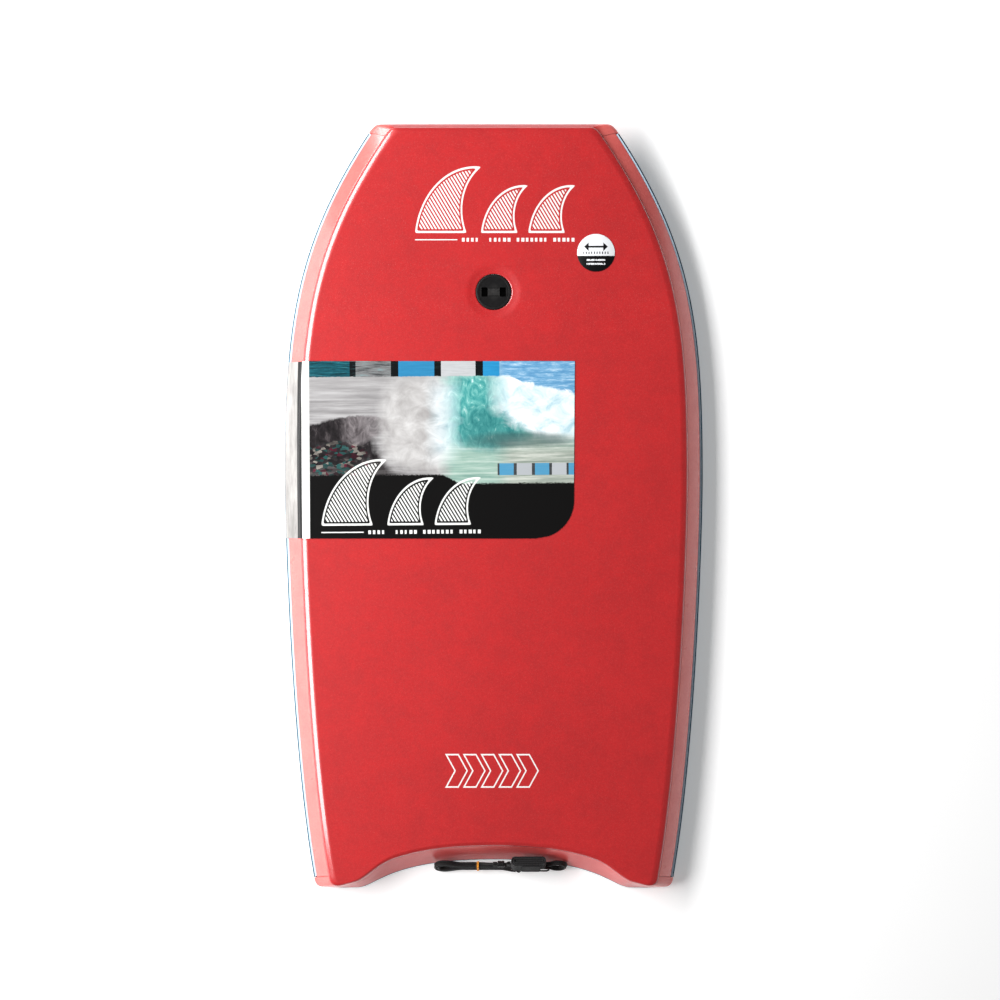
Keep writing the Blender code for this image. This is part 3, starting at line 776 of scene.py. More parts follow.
def leashRoute():
    pitch = leash["pitch"]
    outer, inner = 1.5 * pitch, 0.5 * pitch
    lowLayer, highLayer = leash["layers"]
    left, right, middle = leash["left"], leash["right"], leash["middle"]
    points = []

    def run(start, end, offset, height, change=None):
        steps = max(2, int(abs(end - start) / 0.0012))
        for k in range(steps):
            x = start + (end - start) * k / steps
            w, n = lane(x, offset), height
            if change:
                share = swell(unit(x, change["from"], change["to"]))
                if "offset" in change:
                    w += (lane(x, change["offset"]) - w) * share
                if "height" in change:
                    n += (change["height"] - n) * share
            points.append(Vector((x, middle + w, n)))

    def turn(x, first, last, height, side, up):
        for k in range(24):
            angle = pi * k / 24
            radius = first + (last - first) * k / 24
            points.append(Vector((x + side * radius * sin(angle), middle + up * radius * cos(angle), height)))

    big, small = leash["loop"] + pitch, leash["loop"]
    start = Vector((swivel["ferrule"] - 0.0003, swivel["w"], swivel["n"]))
    for k in range(16):
        share = swell(k / 16)
        points.append(Vector((start.x + (leash["band"] - start.x) * k / 16,
                              start.y + (middle + outer - start.y) * share,
                              start.z + (lowLayer - start.z) * share)))
    run(leash["band"], left, outer, lowLayer)
    turn(left, big, big, lowLayer, -1, 1)
    run(left, right, -outer, lowLayer)
    turn(right, big, big, lowLayer, 1, -1)
    run(right, left, outer, lowLayer, {"from": 0.050, "to": -0.005, "offset": inner})
    turn(left, small, small, lowLayer, -1, 1)
    run(left, right, -inner, lowLayer)
    turn(right, small, small, lowLayer, 1, -1)
    run(right, left, inner, lowLayer, {"from": 0.074, "to": 0.055, "height": highLayer})
    turn(left, small, small, highLayer, -1, 1)
    run(left, right, -inner, highLayer)
    turn(right, small, big, highLayer, 1, -1)
    run(right, left, outer, highLayer)
    turn(left, big, big, highLayer, -1, 1)
    leave = leash["leave"]
    run(left, leave, -outer, highLayer)
    end = Vector((knot["x"] - 0.0035, middle, 0.0099))
    for k in range(17):
        share = swell(k / 16)
        points.append(Vector((leave + (end.x - leave) * k / 16,
                              middle - outer + outer * share,
                              highLayer + (end.z - highLayer) * share)))
    return spaced(smoothed(points, 3), 0.0012)


def stringRoute():
    middle, n = leash["middle"], 0.0083
    start = knot["x"] + knot["radius"] + 0.0003
    turnX = knot["tip"] - knot["bend"]
    half = []
    for k in range(25):
        share = k / 24
        half.append((start + (turnX - start) * share,
                     0.0014 + (knot["bend"] - 0.0014) * swell(share)))
    half += arc(turnX, 0, knot["bend"], pi / 2, -pi / 2, 16)[1:]
    line = half + [(x, -w) for x, w in half[-2::-1]]
    return spaced([Vector((x, middle + w, n)) for x, w in line], 0.0010)


def makeCords(finish):
    route = leashRoute()
    print("leash cord length: %.4f" % pathLength(route))
    cord = tube("leashCord", route, leash["cord"] / 2, finish, "leash", leashPlace)
    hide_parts("leash_hank", "leash_cord")
    line = stringRoute()
    print("plug string length: %.4f" % pathLength(line))
    string = tube("plugString", line, leash["string"] / 2, finish, "leash", leashPlace, sides=12)
    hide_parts("plug_string")
    tie = makeKnot(finish)
    world = [leashPlace @ p for p in route]
    tuple(world[0])
    [tuple(p) for p in world]
    world = [leashPlace @ p for p in line]
    tuple(world[0])
    [tuple(p) for p in world]


def makeKnot(finish):
    middle = Vector((knot["x"], leash["middle"], 0.0070 + 0.0003 + 0.0026))
    loops = []
    for k in range(knot["places"]):
        t = 2 * pi * k / knot["places"]
        loops.append(middle + Vector(((cos(t) - 2 * cos(2 * t)) * knot["wide"],
                                      (sin(t) + 2 * sin(2 * t)) * knot["tall"],
                                      -sin(3 * t) * knot["deep"])))
    tie = tube("stringKnot", loops, knot["strand"], finish, "leash", leashPlace, sides=12, closed=True)
    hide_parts("string_knot")
    return tie


# The layers of the rails. Each is swept from the nose bumper to the tail bumper.
outerLine = {
    "foot": Line(0.0179, 0.0117, 0.065, up=board["slick"] + board["gap"]),
    "chine": Line(0.0009, 0.0008, 0.361, up=0.0175),
    "apex": Line(0.0, 0.0, 0.394, up=0.0192),
    "stripeLow": Line(0.0019, 0.0003, 0.400, up=0.0195),
    "stripeHigh": Line(0.0019, 0.0007, 0.453, up=0.0222),
    "upper": Line(0.0038, 0.0008, 0.459, up=0.0225),
    "shoulder": Line(0.0193, 0.0054, 0.794, down=0.0063),
}
innerLine = {
    "foot": Line(0.0235, 0.0170, 0.065, board["wall"], up=board["slick"] + board["gap"]),
    "chine": Line(0.0065, 0.0060, 0.361, board["wall"], up=0.0175),
    "apex": Line(0.0060, 0.0055, 0.394, board["wall"], up=0.0192),
    "stripeLow": Line(0.0063, 0.0056, 0.400, board["wall"], up=0.0195),
    "stripeHigh": Line(0.0091, 0.0062, 0.453, board["wall"], up=0.0222),
    "upper": Line(0.0094, 0.0063, 0.459, board["wall"], up=0.0225),
    "shoulder": Line(0.0249, 0.0106, 0.794, board["wall"], down=0.0063),
}
rimLine = {
    "low": Line(0.0196, 0.0056, 0.80, down=0.0060),
    "step": Line(0.0206, 0.0062, 0.835, down=0.0021),
    "crest": Line(0.0272, 0.0112, 0.97, down=0.0001),
    "inner": Line(0.0290, 0.0125, 1.0, down=0.0),
}


def rimOf(low, step, crest, inner):
    # a short riser, then a wide gentle slope up to the flat of the deck
    steps = 6
    made = [low] + rounded(toward(step, low, 0.5), step, toward(step, crest, 0.35), steps)
    return made + rounded(toward(crest, step, 0.3), crest, inner, steps)


rimLines = rimOf(*rimLine.values())


def pushedOut(line, by):
    made = toward(line, line, 0)
    made.measures = (line.measures[0] - by, max(line.measures[1] - by / 3, 0.0), *line.measures[2:])
    return made


def softEdges(corners, reaches, bulge=0.0):
    # a closed section with every corner rounded; the first edge may swell outward a little
    made = []
    count = len(corners)
    for k, (line, reach) in enumerate(zip(corners, reaches)):
        if not reach:
            made.append(line)
            continue
        before, after = corners[k - 1], corners[(k + 1) % count]
        made += rounded(toward(line, before, reach[0]), line, toward(line, after, reach[1]), 4)
        if bulge and k == 0:
            for share in (0.3, 0.5, 0.7):
                made.append(pushedOut(toward(line, after, share), bulge * 4 * share * (1 - share)))
    return made


def makeRails(finishes):
    o, i = outerLine, innerLine
    lower = softEdges([o["foot"], o["chine"], o["apex"], i["apex"], i["chine"], i["foot"]],
                      [(0.12, 0.05), (0.10, 0.45), (0.30, 0.08), None, None, None])
    stripe = softEdges([o["stripeLow"], o["stripeHigh"], i["stripeHigh"], i["stripeLow"]],
                       [(0.10, 0.25), (0.25, 0.08), None, None])
    upper = softEdges([o["upper"], o["shoulder"], i["shoulder"], i["upper"]],
                      [(0.12, 0.04), (0.035, 0.12), None, None], 0.0004)
    for side, mirror in (("Left", True), ("Right", False)):
        for layer, section, finish, slot in (("lower", lower, "lowerFoam", "lower_rail_foam"),
                                             ("stripe", stripe, "stripeFoam", "stripe_foam"),
                                             ("upper", upper, "railFoam", "deck_foam")):
            piece = sweep(layer + "Rail" + side, section, finishes[finish], mirror)
            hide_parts("rail_" + layer + "_" + side.lower())
    keys = ("foot", "chine", "apex", "upper", "shoulder")
    corners = [o[key] for key in keys] + [i[key] for key in reversed(keys)]
    section = softEdges(corners, [(0.12, 0.05), (0.10, 0.45), (0.30, 0.45), (0.45, 0.04), (0.035, 0.12)]
                        + [None] * 5)
    for name, span in (("noseBumper", "nose"), ("tailBumper", "tail")):
        piece = sweep(name, section, finishes[span + "Foam"], span=span)
        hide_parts(span + "_bumper")
    print("rails and bumpers made")


# The leash plug in the deck
plug = {
    "y": 0.257, "disc": 0.021, "cup": 0.017, "stem": 0.0065, "post": 0.004, "base": 0.019,
    "top": 0.0453, "discLow": 0.0413, "cupLow": 0.030, "stemLow": 0.012,
    "baseLow": 0.0019, "baseHigh": 0.0049,
    "slotIn": 0.007, "slotOut": 0.0146, "slotHalf": 0.0055,
    "dimple": 0.034, "dimpleDepth": 0.0016, "hole": 0.0214, "lip": 0.0011,
}


def deckShell(shell, rings, topSpacing, lowSpacing, holeRings):
    # rings run from the lowest outline to the top one, and holeRings back down through the hole
    made = [shell.ring(line.loop()) for line in rings]
    for low, high in zip(made, made[1:]):
        shell.join(low, high)
    through = [shell.ring(points) for points in holeRings]
    for a, b in zip(through, through[1:]):
        shell.join(a, b)
    shell.fill(made[-1], [through[0]], topSpacing, rings[-1].height, False)
    shell.fill(made[0], [through[-1]], lowSpacing, rings[0].height, True)


def makeDeck(finishes):
    spacing = 0.011
    middle = (0.0, plug["y"])
    sides = 96
    dimple = []
    for k in range(9):
        share = k / 8
        radius = plug["dimple"] + (plug["hole"] + 0.0004 - plug["dimple"]) * share
        drop = plug["dimpleDepth"] * ease(share)
        dimple.append(ringPoints(middle, radius, sides, lambda y: deckAt(y) - drop))
    for drop in (plug["dimpleDepth"] + 0.0004, board["deckSkin"]):
        dimple.append(ringPoints(middle, plug["hole"], sides, lambda y: deckAt(y) - drop))
    shell = Shell()
    rings = [Line(0.02955, 0.01325, 1.0, 0.0035, down=board["deckSkin"]),
             Line(0.02525, 0.01105, 0.80, board["wall"], down=0.0060)] + rimLines
    deckShell(shell, rings, spacing, 0.05, dimple)
    piece = addPiece("deckFoam", shell.vertices, shell.faces, "board", finishes["deckFoam"], 0.9)
    faceOutward(piece)
    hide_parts("deck_skin")

    shell = Shell()
    rings = rounded(Line(0.0217, 0.0157, 0.03, 0.0012, up=0.0), Line(0.0200, 0.0140, 0.035, up=0.0001),
                    Line(0.0182, 0.0120, 0.055, up=board["slick"]), 5)
    hole = [ringPoints(middle, radius, sides, lambda y: bottomAt(y) + z)
            for radius, z in ((0.0194, 0.002), (0.0194, 0.0006), (0.0200, 0.0))]
    deckShell(shell, rings, spacing * 2, spacing * 2, hole)
    piece = addPiece("slickBottom", shell.vertices, shell.faces, "board", finishes["slick"], 0.9)
    faceOutward(piece)
    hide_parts("slick_bottom")
    print("deck and bottom made")


def carved(piece, cutters, operation="DIFFERENCE"):
    # cuts or joins the cutters into a piece, and leaves a plain mesh
    for cutter in cutters:
        step = piece.modifiers.new("carve", "BOOLEAN")
        step.operation = operation
        step.object = cutter
    bpy.context.view_layer.update()
    view = bpy.context.evaluated_depsgraph_get()
    mesh = bpy.data.meshes.new_from_object(piece.evaluated_get(view))
    piece.modifiers.clear()
    piece.data = mesh
    mesh.shade_smooth()
    mesh.set_sharp_from_angle(angle=0.6)
    for cutter in cutters:
        bpy.data.objects.remove(cutter, do_unlink=True)


def prism(name, outline, low, high, finish, body, matrix=None, edge=0.0):
    # an outline drawn upright, with its two rims eased by edge
    middle = middleOf([Vector(place) for place in outline])
    rings = []
    for level, pull in ((low, edge), (low + edge, 0), (high - edge, 0), (high, edge)):
        ring = []
        for x, y in outline:
            out = (Vector((x, y)) - middle).normalized()
            ring.append(Vector((x - out.x * pull, y - out.y * pull, level)))
        rings.append(ring)
    if not edge:
        rings = [rings[0], rings[-1]]
    return slabOutline(name, rings, finish, body, matrix)


def makePlug(finishes):
    place = Matrix.Translation((0, plug["y"], 0))
    black = finishes["plugPlastic"]
    profile = [(plug["post"] + 0.0003, plug["stemLow"]), (plug["stem"], plug["stemLow"]),
               (plug["stem"], plug["cupLow"]), (plug["cup"] - 0.0005, plug["cupLow"]),
               (plug["cup"], plug["cupLow"] + 0.0005), (plug["cup"], plug["discLow"]),
               (plug["disc"] - 0.0006, plug["discLow"]), (plug["disc"], plug["discLow"] + 0.0006)]
    lip = plug["lip"]
    profile += arc(plug["disc"] - lip, plug["top"] - lip, lip, 0, pi / 2, 6)
    profile += [(0.0182, plug["top"]), (0.0178, plug["top"] - 0.0004), (0, plug["top"] - 0.0004)]
    cap = turned("plugCap", profile, black, "board", 96, place)
    slots = []
    slotMiddle = (plug["slotIn"] + plug["slotOut"]) / 2
    slotShape = roundedBox(((plug["slotOut"] - plug["slotIn"]) / 2, plug["slotHalf"]), 0.0008)
    for sign in (-1, 1):
        slots.append(prism("slot", [(x + sign * slotMiddle, y) for x, y in slotShape],
                           plug["cupLow"] + 0.006, 0.055, black, "board", place))
        slots.append(prism("ridge", roundedBox((0.0062, 0.0004), 0.0003), plug["top"] - 0.0009, 0.055,
                           black, "board", place @ Matrix.Translation((0, sign * 0.0046, 0))))
    slots.append(prism("tunnel", roundedBox((plug["slotOut"], plug["slotHalf"]), 0.0008),
                       plug["cupLow"] + 0.0018, plug["discLow"] - 0.0005, black, "board", place))
    slots.append(turned("bore", [(plug["post"] + 0.0003, 0.0), (plug["post"] + 0.0003, 0.0265)],
                        black, "board", 48, place))
    carved(cap, slots)
    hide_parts("plug_cap")
    low, high, base = plug["baseLow"], plug["baseHigh"], plug["base"]
    profile = [(0, low + 0.0007), (0.0052, low + 0.0007), (0.0056, low + 0.0002), (0.0060, low),
               (0.0125, low), (0.0128, low + 0.0003), (0.0134, low + 0.0003), (0.0137, low),
               (base - 0.0008, low), (base - 0.0002, low + 0.0003), (base, low + 0.0008),
               (base, high), (plug["post"], high), (plug["post"], 0.0235),
               (plug["post"] - 0.001, 0.0245), (0, 0.0245)]
    foot = turned("plugBase", profile, black, "board", 96, place)
    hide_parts("plug_base")
    print("plug made")


# The prints that are pieces of their own
label = {"right": 0.096, "front": 0.175, "back": -0.035, "corner": 0.045, "lift": 0.0009, "thick": 0.0005}
sticker = {"x": 0.121, "y": 0.303, "radius": 0.0223}


def placeAt(path, y):
    for a, b in zip(path, path[1:]):
        if a.y >= y > b.y:
            return a.lerp(b, (a.y - y) / (a.y - b.y))
    raise RuntimeError("no place at %g" % y)


def makeLabel(finishes):
    wide = [outerLine["shoulder"]]
    wide += [toward(outerLine["shoulder"], outerLine["stripeHigh"], k / 6) for k in range(1, 7)]
    section = rimLines[::-1][:-1] + wide + [outerLine["stripeLow"]]
    paths = []
    for line in section:
        paths.append(flipped(line.half()[railStart:railStart + sideCount]))
    step = 0.003
    count = int((label["front"] - label["back"]) / step)
    columns = 100
    rows, flats = [], []
    for k in range(count + 1):
        share = k / count
        y = label["front"] + (label["back"] - label["front"]) * share
        right = label["right"] - 0.0015 * share
        low = y - label["back"]
        if low < label["corner"]:
            away = label["corner"] - low
            right -= label["corner"] - sqrt(max(label["corner"] ** 2 - away ** 2, 0.0))
        edge = [placeAt(path, y) for path in paths]
        row = [Vector((right + (edge[0].x - right) * m / columns, y, edge[0].z)) for m in range(columns)]
        row += edge
        flat, run = [], right
        for m, point in enumerate(row):
            if m:
                run -= (Vector((point.x, point.z)) - Vector((row[m - 1].x, row[m - 1].z))).length
            flat.append((run, y))
        rows.append(row)
        flats.append(flat)
    shells = []
    for lift in (label["lift"] - label["thick"], label["lift"]):
        for row in rows:
            shells.append([liftPoint(row, m, lift) for m in range(len(row))])
    size = len(rows[0])
    top = len(rows) * size
    vertices = [p for row in shells for p in row]
    faces, uvs = [], []
    spots = [place for flat in flats for place in flat] * 2

    def face(*corners):
        faces.append(corners)
        uvs.append([spots[c] for c in corners])

    for k in range(len(rows) - 1):
        for m in range(size - 1):
            a = k * size + m
            face(a, a + size, a + size + 1, a + 1)
            face(top + a, top + a + 1, top + a + size + 1, top + a + size)
    edge = list(range(size)) + [k * size + size - 1 for k in range(1, len(rows))]
    edge += [(len(rows) - 1) * size + m for m in range(size - 2, -1, -1)]
    edge += [k * size for k in range(len(rows) - 2, 0, -1)]
    for a, b in zip(edge, edge[1:] + edge[:1]):
        face(a, b, top + b, top + a)
    piece = addPiece("labelSleeve", vertices, faces, "board", finishes["labelArt"], 0.9, None, uvs)
    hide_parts("label_sleeve")
    print("label made")


def liftPoint(row, m, lift):
    # a point of a cross-section moved out of the surface, in its own upright plane
    before = row[m] - row[m - 1] if m else row[1] - row[0]
    after = row[m + 1] - row[m] if m < len(row) - 1 else row[m] - row[m - 1]
    normals = [Vector((run.z, -run.x)).normalized() for run in (before, after)]
    middle = (normals[0] + normals[1]).normalized()
    out = middle * lift / max(middle.dot(normals[0]), 0.5)
    return Vector((row[m].x + out.x, row[m].y, row[m].z + out.y))


def makeSticker(finishes):
    x, y, radius = sticker["x"], sticker["y"], sticker["radius"]
    slope = 2 * board["rockerDeck"] * (y - board["rockerStart"]) \
        / (board["length"] / 2 - board["rockerStart"]) ** 2
    place = Matrix.Translation((x, y, deckAt(y) + 0.0001)) @ Matrix.Rotation(atan2(slope, 1), 4, "X")
    thin = board["gap"]
    piece = turned("sizeSticker", [(0, thin), (radius - 0.0001, thin), (radius, thin * 1.3),
                                   (radius, thin * 1.7), (radius - 0.00015, thin * 2), (0, thin * 2)],
                   finishes["stickerPrint"], "board", 96, place)
    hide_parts("size_sticker")


# The swivel, the cuff and the band on the leash
cuff = {"left": 0.0205, "right": 0.0635, "low": 0.0198, "width": 0.020, "strap": 0.002,
        "ribs": 13, "ribDepth": 0.00014}


def makeSwivel(finishes):
    place = alongPlace @ Matrix.Translation((swivel["w"], swivel["n"], 0))
    start, end, radius = swivel["barrel"], swivel["barrel"] + swivel["barrelLength"], swivel["barrelRadius"]
    ferrule = swivel["ferrule"]
    profile = [(0, ferrule), (0.0018, ferrule)]
    profile += [(0.0018 + 0.0009 * sin(pi / 2 * k / 5), ferrule + 0.0009 * (1 - cos(pi / 2 * k / 5)))
                for k in range(1, 6)]
    for k in range(3):                                     # crimped rings of the ferrule
        x = ferrule + 0.0014 + k * 0.0010
        profile += [(0.0027, x), (0.0024, x + 0.0002), (0.0024, x + 0.0004), (0.0027, x + 0.0006)]
    profile += [(0.0027, start - 0.0009), (0.0023, start - 0.0005), (0.0014, start - 0.0003),
                (0.0014, start + 0.0018), (0.0025, start + 0.0018), (0.0025, start + 0.0034),
                (0, start + 0.0034)]
    rotor = turned("swivelRotor", profile, finishes["swivelPlastic"], "swivel", 48, place)
    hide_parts("swivel_rotor")

    profile = [(0.0018, start), (radius - 0.0008, start)]
    profile += [(radius - 0.0008 + 0.0008 * sin(pi / 2 * k / 5), start + 0.0008 * (1 - cos(pi / 2 * k / 5)))
                for k in range(1, 6)]
    for k in range(2):
        x = start + 0.0024 + k * 0.0022
        profile += [(radius, x), (radius - 0.0003, x + 0.0002), (radius - 0.0003, x + 0.0008),
                    (radius, x + 0.0010)]
    profile += arc(radius - 0.0012, end - 0.0012, 0.0012, 0, pi / 2, 6)
    profile += [(0.0009, end), (0.0009, start + 0.0039), (0.0029, start + 0.0039),
                (0.0029, start + 0.0014), (0.0018, start + 0.0014), (0.0018, start)]
    barrel = turned("swivelBarrel", profile, finishes["swivelPlastic"], "leash", 48, place)
    route = [Vector((end - 0.0016, -0.0012, 0))]
    reach, half = swivel["bail"] - end + 0.0016, 0.0042
    for k in range(33):
        angle = -pi / 2 + pi * k / 32
        side = (half - 0.0015) * max(-1.0, min(1.0, angle / 0.35))
        route.append(Vector((end - 0.0016 + reach - 0.0015 + 0.0015 * cos(angle),
                             side + 0.0015 * sin(angle), 0)))
    route.append(Vector((end - 0.0016, 0.0012, 0)))
    route = smoothed(spaced(route, 0.0004), 2)
    wire = tube("bail", route, swivel["wire"], finishes["swivelPlastic"], "leash",
                leashPlace @ Matrix.Translation((0, swivel["w"], swivel["n"])), 12)
    barrel = joined("swivelBarrel", [barrel, wire])
    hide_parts("swivel_barrel")
    print("swivel made")


def cuffRoute():
    pitch = cuff["strap"] + board["gap"]
    radius = 0.0013
    reach = radius + 1.5 * pitch + cuff["strap"] / 2
    left, right = cuff["left"] + reach, cuff["right"] - reach
    line = [Vector((left, radius))]
    middle = 0.0
    for turn in range(4):
        atRight = turn % 2 == 0
        centre = right if atRight else left
        line += [Vector(p) for p in arc(centre, middle, radius, pi / 2 if atRight else -pi / 2, -pi, 24)]
        middle = pitch / 2 if atRight else 0.0
        radius += pitch / 2
    line.append(Vector((right - 0.002, line[-1].y)))
    return spaced([Vector((p.x, p.y, 0)) for p in line], 0.0008)


def makeCuff(finishes):
    line = cuffRoute()
    low, width, thick = cuff["low"], cuff["width"], cuff["strap"]
    across = 6 * cuff["ribs"]
    vertices = []
    runs = runsOf(line)
    for k, point in enumerate(line):
        along = (line[min(k + 1, len(line) - 1)] - line[max(k - 1, 0)]).normalized()
        out = Vector((-along.y, along.x))
        for sign in (1, -1):
            for m in range(across + 1):
                share = m / across
                edge = min(share, 1 - share) * width
                thin = min(1.0, sqrt(max(edge, 0.0) / 0.0009)) if edge < 0.0009 else 1.0
                rib = cuff["ribDepth"] * (1 - cos(2 * pi * cuff["ribs"] * share)) / 2
                reach = (thick / 2 - cuff["ribDepth"] + rib) * (0.25 + 0.75 * thin)
                place = share if sign > 0 else 1 - share
                vertices.append(Vector((point.x + out.x * reach * sign, low + width * place,
                                        swivel["n"] + point.y + out.y * reach * sign)))
    ring = 2 * (across + 1)
    faces = ringFaces(len(line), ring)
    uvs = ringPlaces(runs, ring, width / across)
    uvs.append([(0.0, m * width / across) for m in reversed(range(ring))])
    uvs.append([(runs[-1], m * width / across) for m in range(ring)])
    strap = addPiece("cuffStrap", vertices, faces, "leash", finishes["webbing"], 0.7, leashPlace, uvs)
    faceOutward(strap)
    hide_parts("cuff_strap")

    top = swivel["n"] + max(p.y for p in line) + thick / 2 + board["gap"]
    start, end = cuff["left"] + 0.012, cuff["right"] - 0.008
    shape = roundedBox(((end - start) / 2, width / 2 - 0.001), 0.0025, 8)
    patch = prism("cuffHookTab", [(x + (start + end) / 2, w + low + width / 2) for x, w in shape],
                  top, top + 0.0009, finishes["hookTape"], "leash", leashPlace, 0.0003)
    patch = joined("cuffHookTab", [patch] + stitchRow(shape, (start + end) / 2, low + width / 2, top + 0.0009,
                                                      finishes["hookTape"]))
    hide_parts("cuff_hook_tab")
    makeTab(finishes)
    print("cuff made")


stitch = {"spacing": 0.0004, "long": 5, "every": 6, "thick": 0.00018, "sunk": 0.00004, "arch": 0.00022}


def stitchRow(shape, x, w, height, finish):
    # short threads sunk in a seam that runs inside the patch's edge
    seam = spaced([Vector((x + px * 0.93, w + pw * 0.88, height)) for px, pw in shape + shape[:1]],
                  stitch["spacing"])
    stitches = []
    for k in range(0, len(seam) - stitch["long"], stitch["every"]):
        part = [Vector((p.x, p.y, height - stitch["sunk"] + stitch["arch"] * sin(pi * m / 4)))
                for m, p in enumerate(seam[k:k + stitch["long"]])]
        stitches.append(tube("stitch", part, stitch["thick"], finish, "leash", leashPlace, 6))
    return stitches


tab = {"thick": 0.0010, "width": 0.0060, "parting": 0.0002, "throat": 0.0013}


def makeTab(finishes):
    # a strip folded round the bail, its two halves side by side as far as the cuff
    inner = swivel["wire"] + board["gap"]
    outer = inner + tab["thick"]
    end = cuff["left"] - board["gap"]
    hole = swivel["bail"]
    outline = [(end + (hole - end) * k / 6, -outer) for k in range(6)]
    outline += arc(hole, 0, outer, -pi / 2, -pi, 24)
    outline += [(hole + (end - hole) * k / 6, outer) for k in range(1, 7)]
    outline += [(end, tab["parting"]), (hole + tab["throat"], tab["parting"])]
    outline += arc(hole, 0, inner, 0.25, 2 * pi - 0.5, 36)
    outline += [(hole + tab["throat"], -tab["parting"]), (end, -tab["parting"])]
    rings = []
    for k in range(13):
        w = swivel["w"] - tab["width"] / 2 + tab["width"] * k / 12
        rings.append([Vector((x, w, swivel["n"] + n)) for x, n in outline])
    strip = slabOutline("cuffTab", rings, finishes["webbing"], "leash", leashPlace)
    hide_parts("cuff_tab")


band = {"wraps": (-0.00085, 0.0, 0.00085), "low": 0.0001, "high": 0.0073, "out": 0.00035,
        "thick": 0.00037, "corner": 0.0016, "wander": 0.00018}


def makeBand(finishes):
    # one rubber band wound round the bundle three times
    half = 1.5 * leash["pitch"] + leash["cord"] / 2 + board["gap"]
    middle, tall = (band["low"] + band["high"]) / 2, (band["high"] - band["low"]) / 2
    parts = []
    for wrap, shift in enumerate(band["wraps"]):
        path = roundedBox((half + band["out"], tall + band["out"]), band["corner"], 8)
        points = []
        for k, (w, n) in enumerate(path):
            turn = 2 * pi * k / len(path)
            points.append(Vector((leash["band"] + shift + band["wander"] * sin(turn + wrap * 2.1),
                                  leash["middle"] + w, middle + n)))
        parts.append(tube("wrap", spaced(points + points[:1], 0.0007)[:-1], band["thick"],
                          finishes["bandRubber"], "leash", leashPlace, 10, True))
    rubber = joined("rubberBand", parts)
    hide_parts("rubber_band")


# Shader groups that several finishes share
def place(wires, tree, **sockets):
    # puts a node group in a material or in another group
    made = wires.tree.nodes.new("ShaderNodeGroup")
    made.node_tree = tree
    for key, value in sockets.items():
        wires.feed(made.inputs[key], value)
    return made.outputs


def vectorMaths(wires, operation, a, b=None, c=None, scale=None):
    made = wires.tree.nodes.new("ShaderNodeVectorMath")
    made.operation = operation
    for socket, value in zip(made.inputs, (a, b, c)):
        wires.feed(socket, value)
    if scale is not None:
        wires.feed(made.inputs["Scale"], scale)
    return made.outputs[1] if operation in ("LENGTH", "DISTANCE", "DOT_PRODUCT") else made.outputs[0]


def split(wires, vector):
    made = wires.add("ShaderNodeSeparateXYZ", Vector=vector)
    return made.outputs[0], made.outputs[1], made.outputs[2]


def merge(wires, x, y, z=0.0):
    return wires.add("ShaderNodeCombineXYZ", X=x, Y=y, Z=z).outputs[0]


def foamSkinGroup():
    # closed-cell foam under a clear film: cloudy colour, fine grain, tiny cells
    tree, given, wanted = group("foamSkin", [
        ("Vector", "NodeSocketVector", None), ("Colour", "NodeSocketColor", None),
        ("Deep", "NodeSocketColor", None), ("Grain", "NodeSocketFloat", 0.25),
        ("Gloss", "NodeSocketFloat", 0.34)],
        [("Colour", "NodeSocketColor"), ("Roughness", "NodeSocketFloat"), ("Height", "NodeSocketFloat")])
    w = Wires(tree)
    vector = given["Vector"]
    cloud = w.noise(vector, 9.0, 3.0, 0.55)
    patch = w.noise(vector, 55.0, 3.0, 0.6)
    grain = w.noise(vector, 420.0, 4.0, 0.65)
    cells = w.add("ShaderNodeTexVoronoi", {"feature": "F1"}, Vector=vector, Scale=760.0).outputs["Distance"]
    tint = w.plus(w.times(cloud, 0.20),
                   w.plus(w.times(patch, 0.35), w.times(grain, 0.45)))
    amount = w.times(w.scaled(tint, 4.6, -1.8, True), given["Grain"])
    colour = w.mix(amount, given["Colour"], given["Deep"])
    fleck = w.times(w.step(w.noise(vector, 1500.0, 2.0, 0.5), 0.66, 0.06), 0.10)
    w.feed(wanted["Colour"], w.mix(fleck, colour, (1.0, 0.62, 0.56, 1)))
    uneven = w.scaled(patch, 0.16, -0.08)
    w.feed(wanted["Roughness"], w.plus(given["Gloss"], uneven))
    height = w.plus(w.times(cells, 0.30), w.times(grain, 0.70))
    w.feed(wanted["Height"], height)
    return tree


def scuffsGroup():
    # hair-fine marks that run mostly one way, and a little dust
    tree, given, wanted = group("scuffs", [
        ("Vector", "NodeSocketVector", None), ("Stretch", "NodeSocketVector", (260.0, 14.0, 120.0))],
        [("Marks", "NodeSocketFloat"), ("Dust", "NodeSocketFloat")])
    w = Wires(tree)
    long = vectorMaths(w, "MULTIPLY", given["Vector"], given["Stretch"])
    crossed = w.add("ShaderNodeVectorRotate", {"rotation_type": "Z_AXIS"}, Vector=given["Vector"], Angle=0.7)
    other = vectorMaths(w, "MULTIPLY", crossed.outputs[0], given["Stretch"])
    a = w.step(w.noise(long, 1.0, 5.0, 0.62), 0.66, 0.05)
    b = w.step(w.noise(other, 1.3, 5.0, 0.62), 0.69, 0.05)
    w.feed(wanted["Marks"], w.most(a, b))
    w.feed(wanted["Dust"], w.noise(given["Vector"], 180.0, 5.0, 0.7))
    return tree


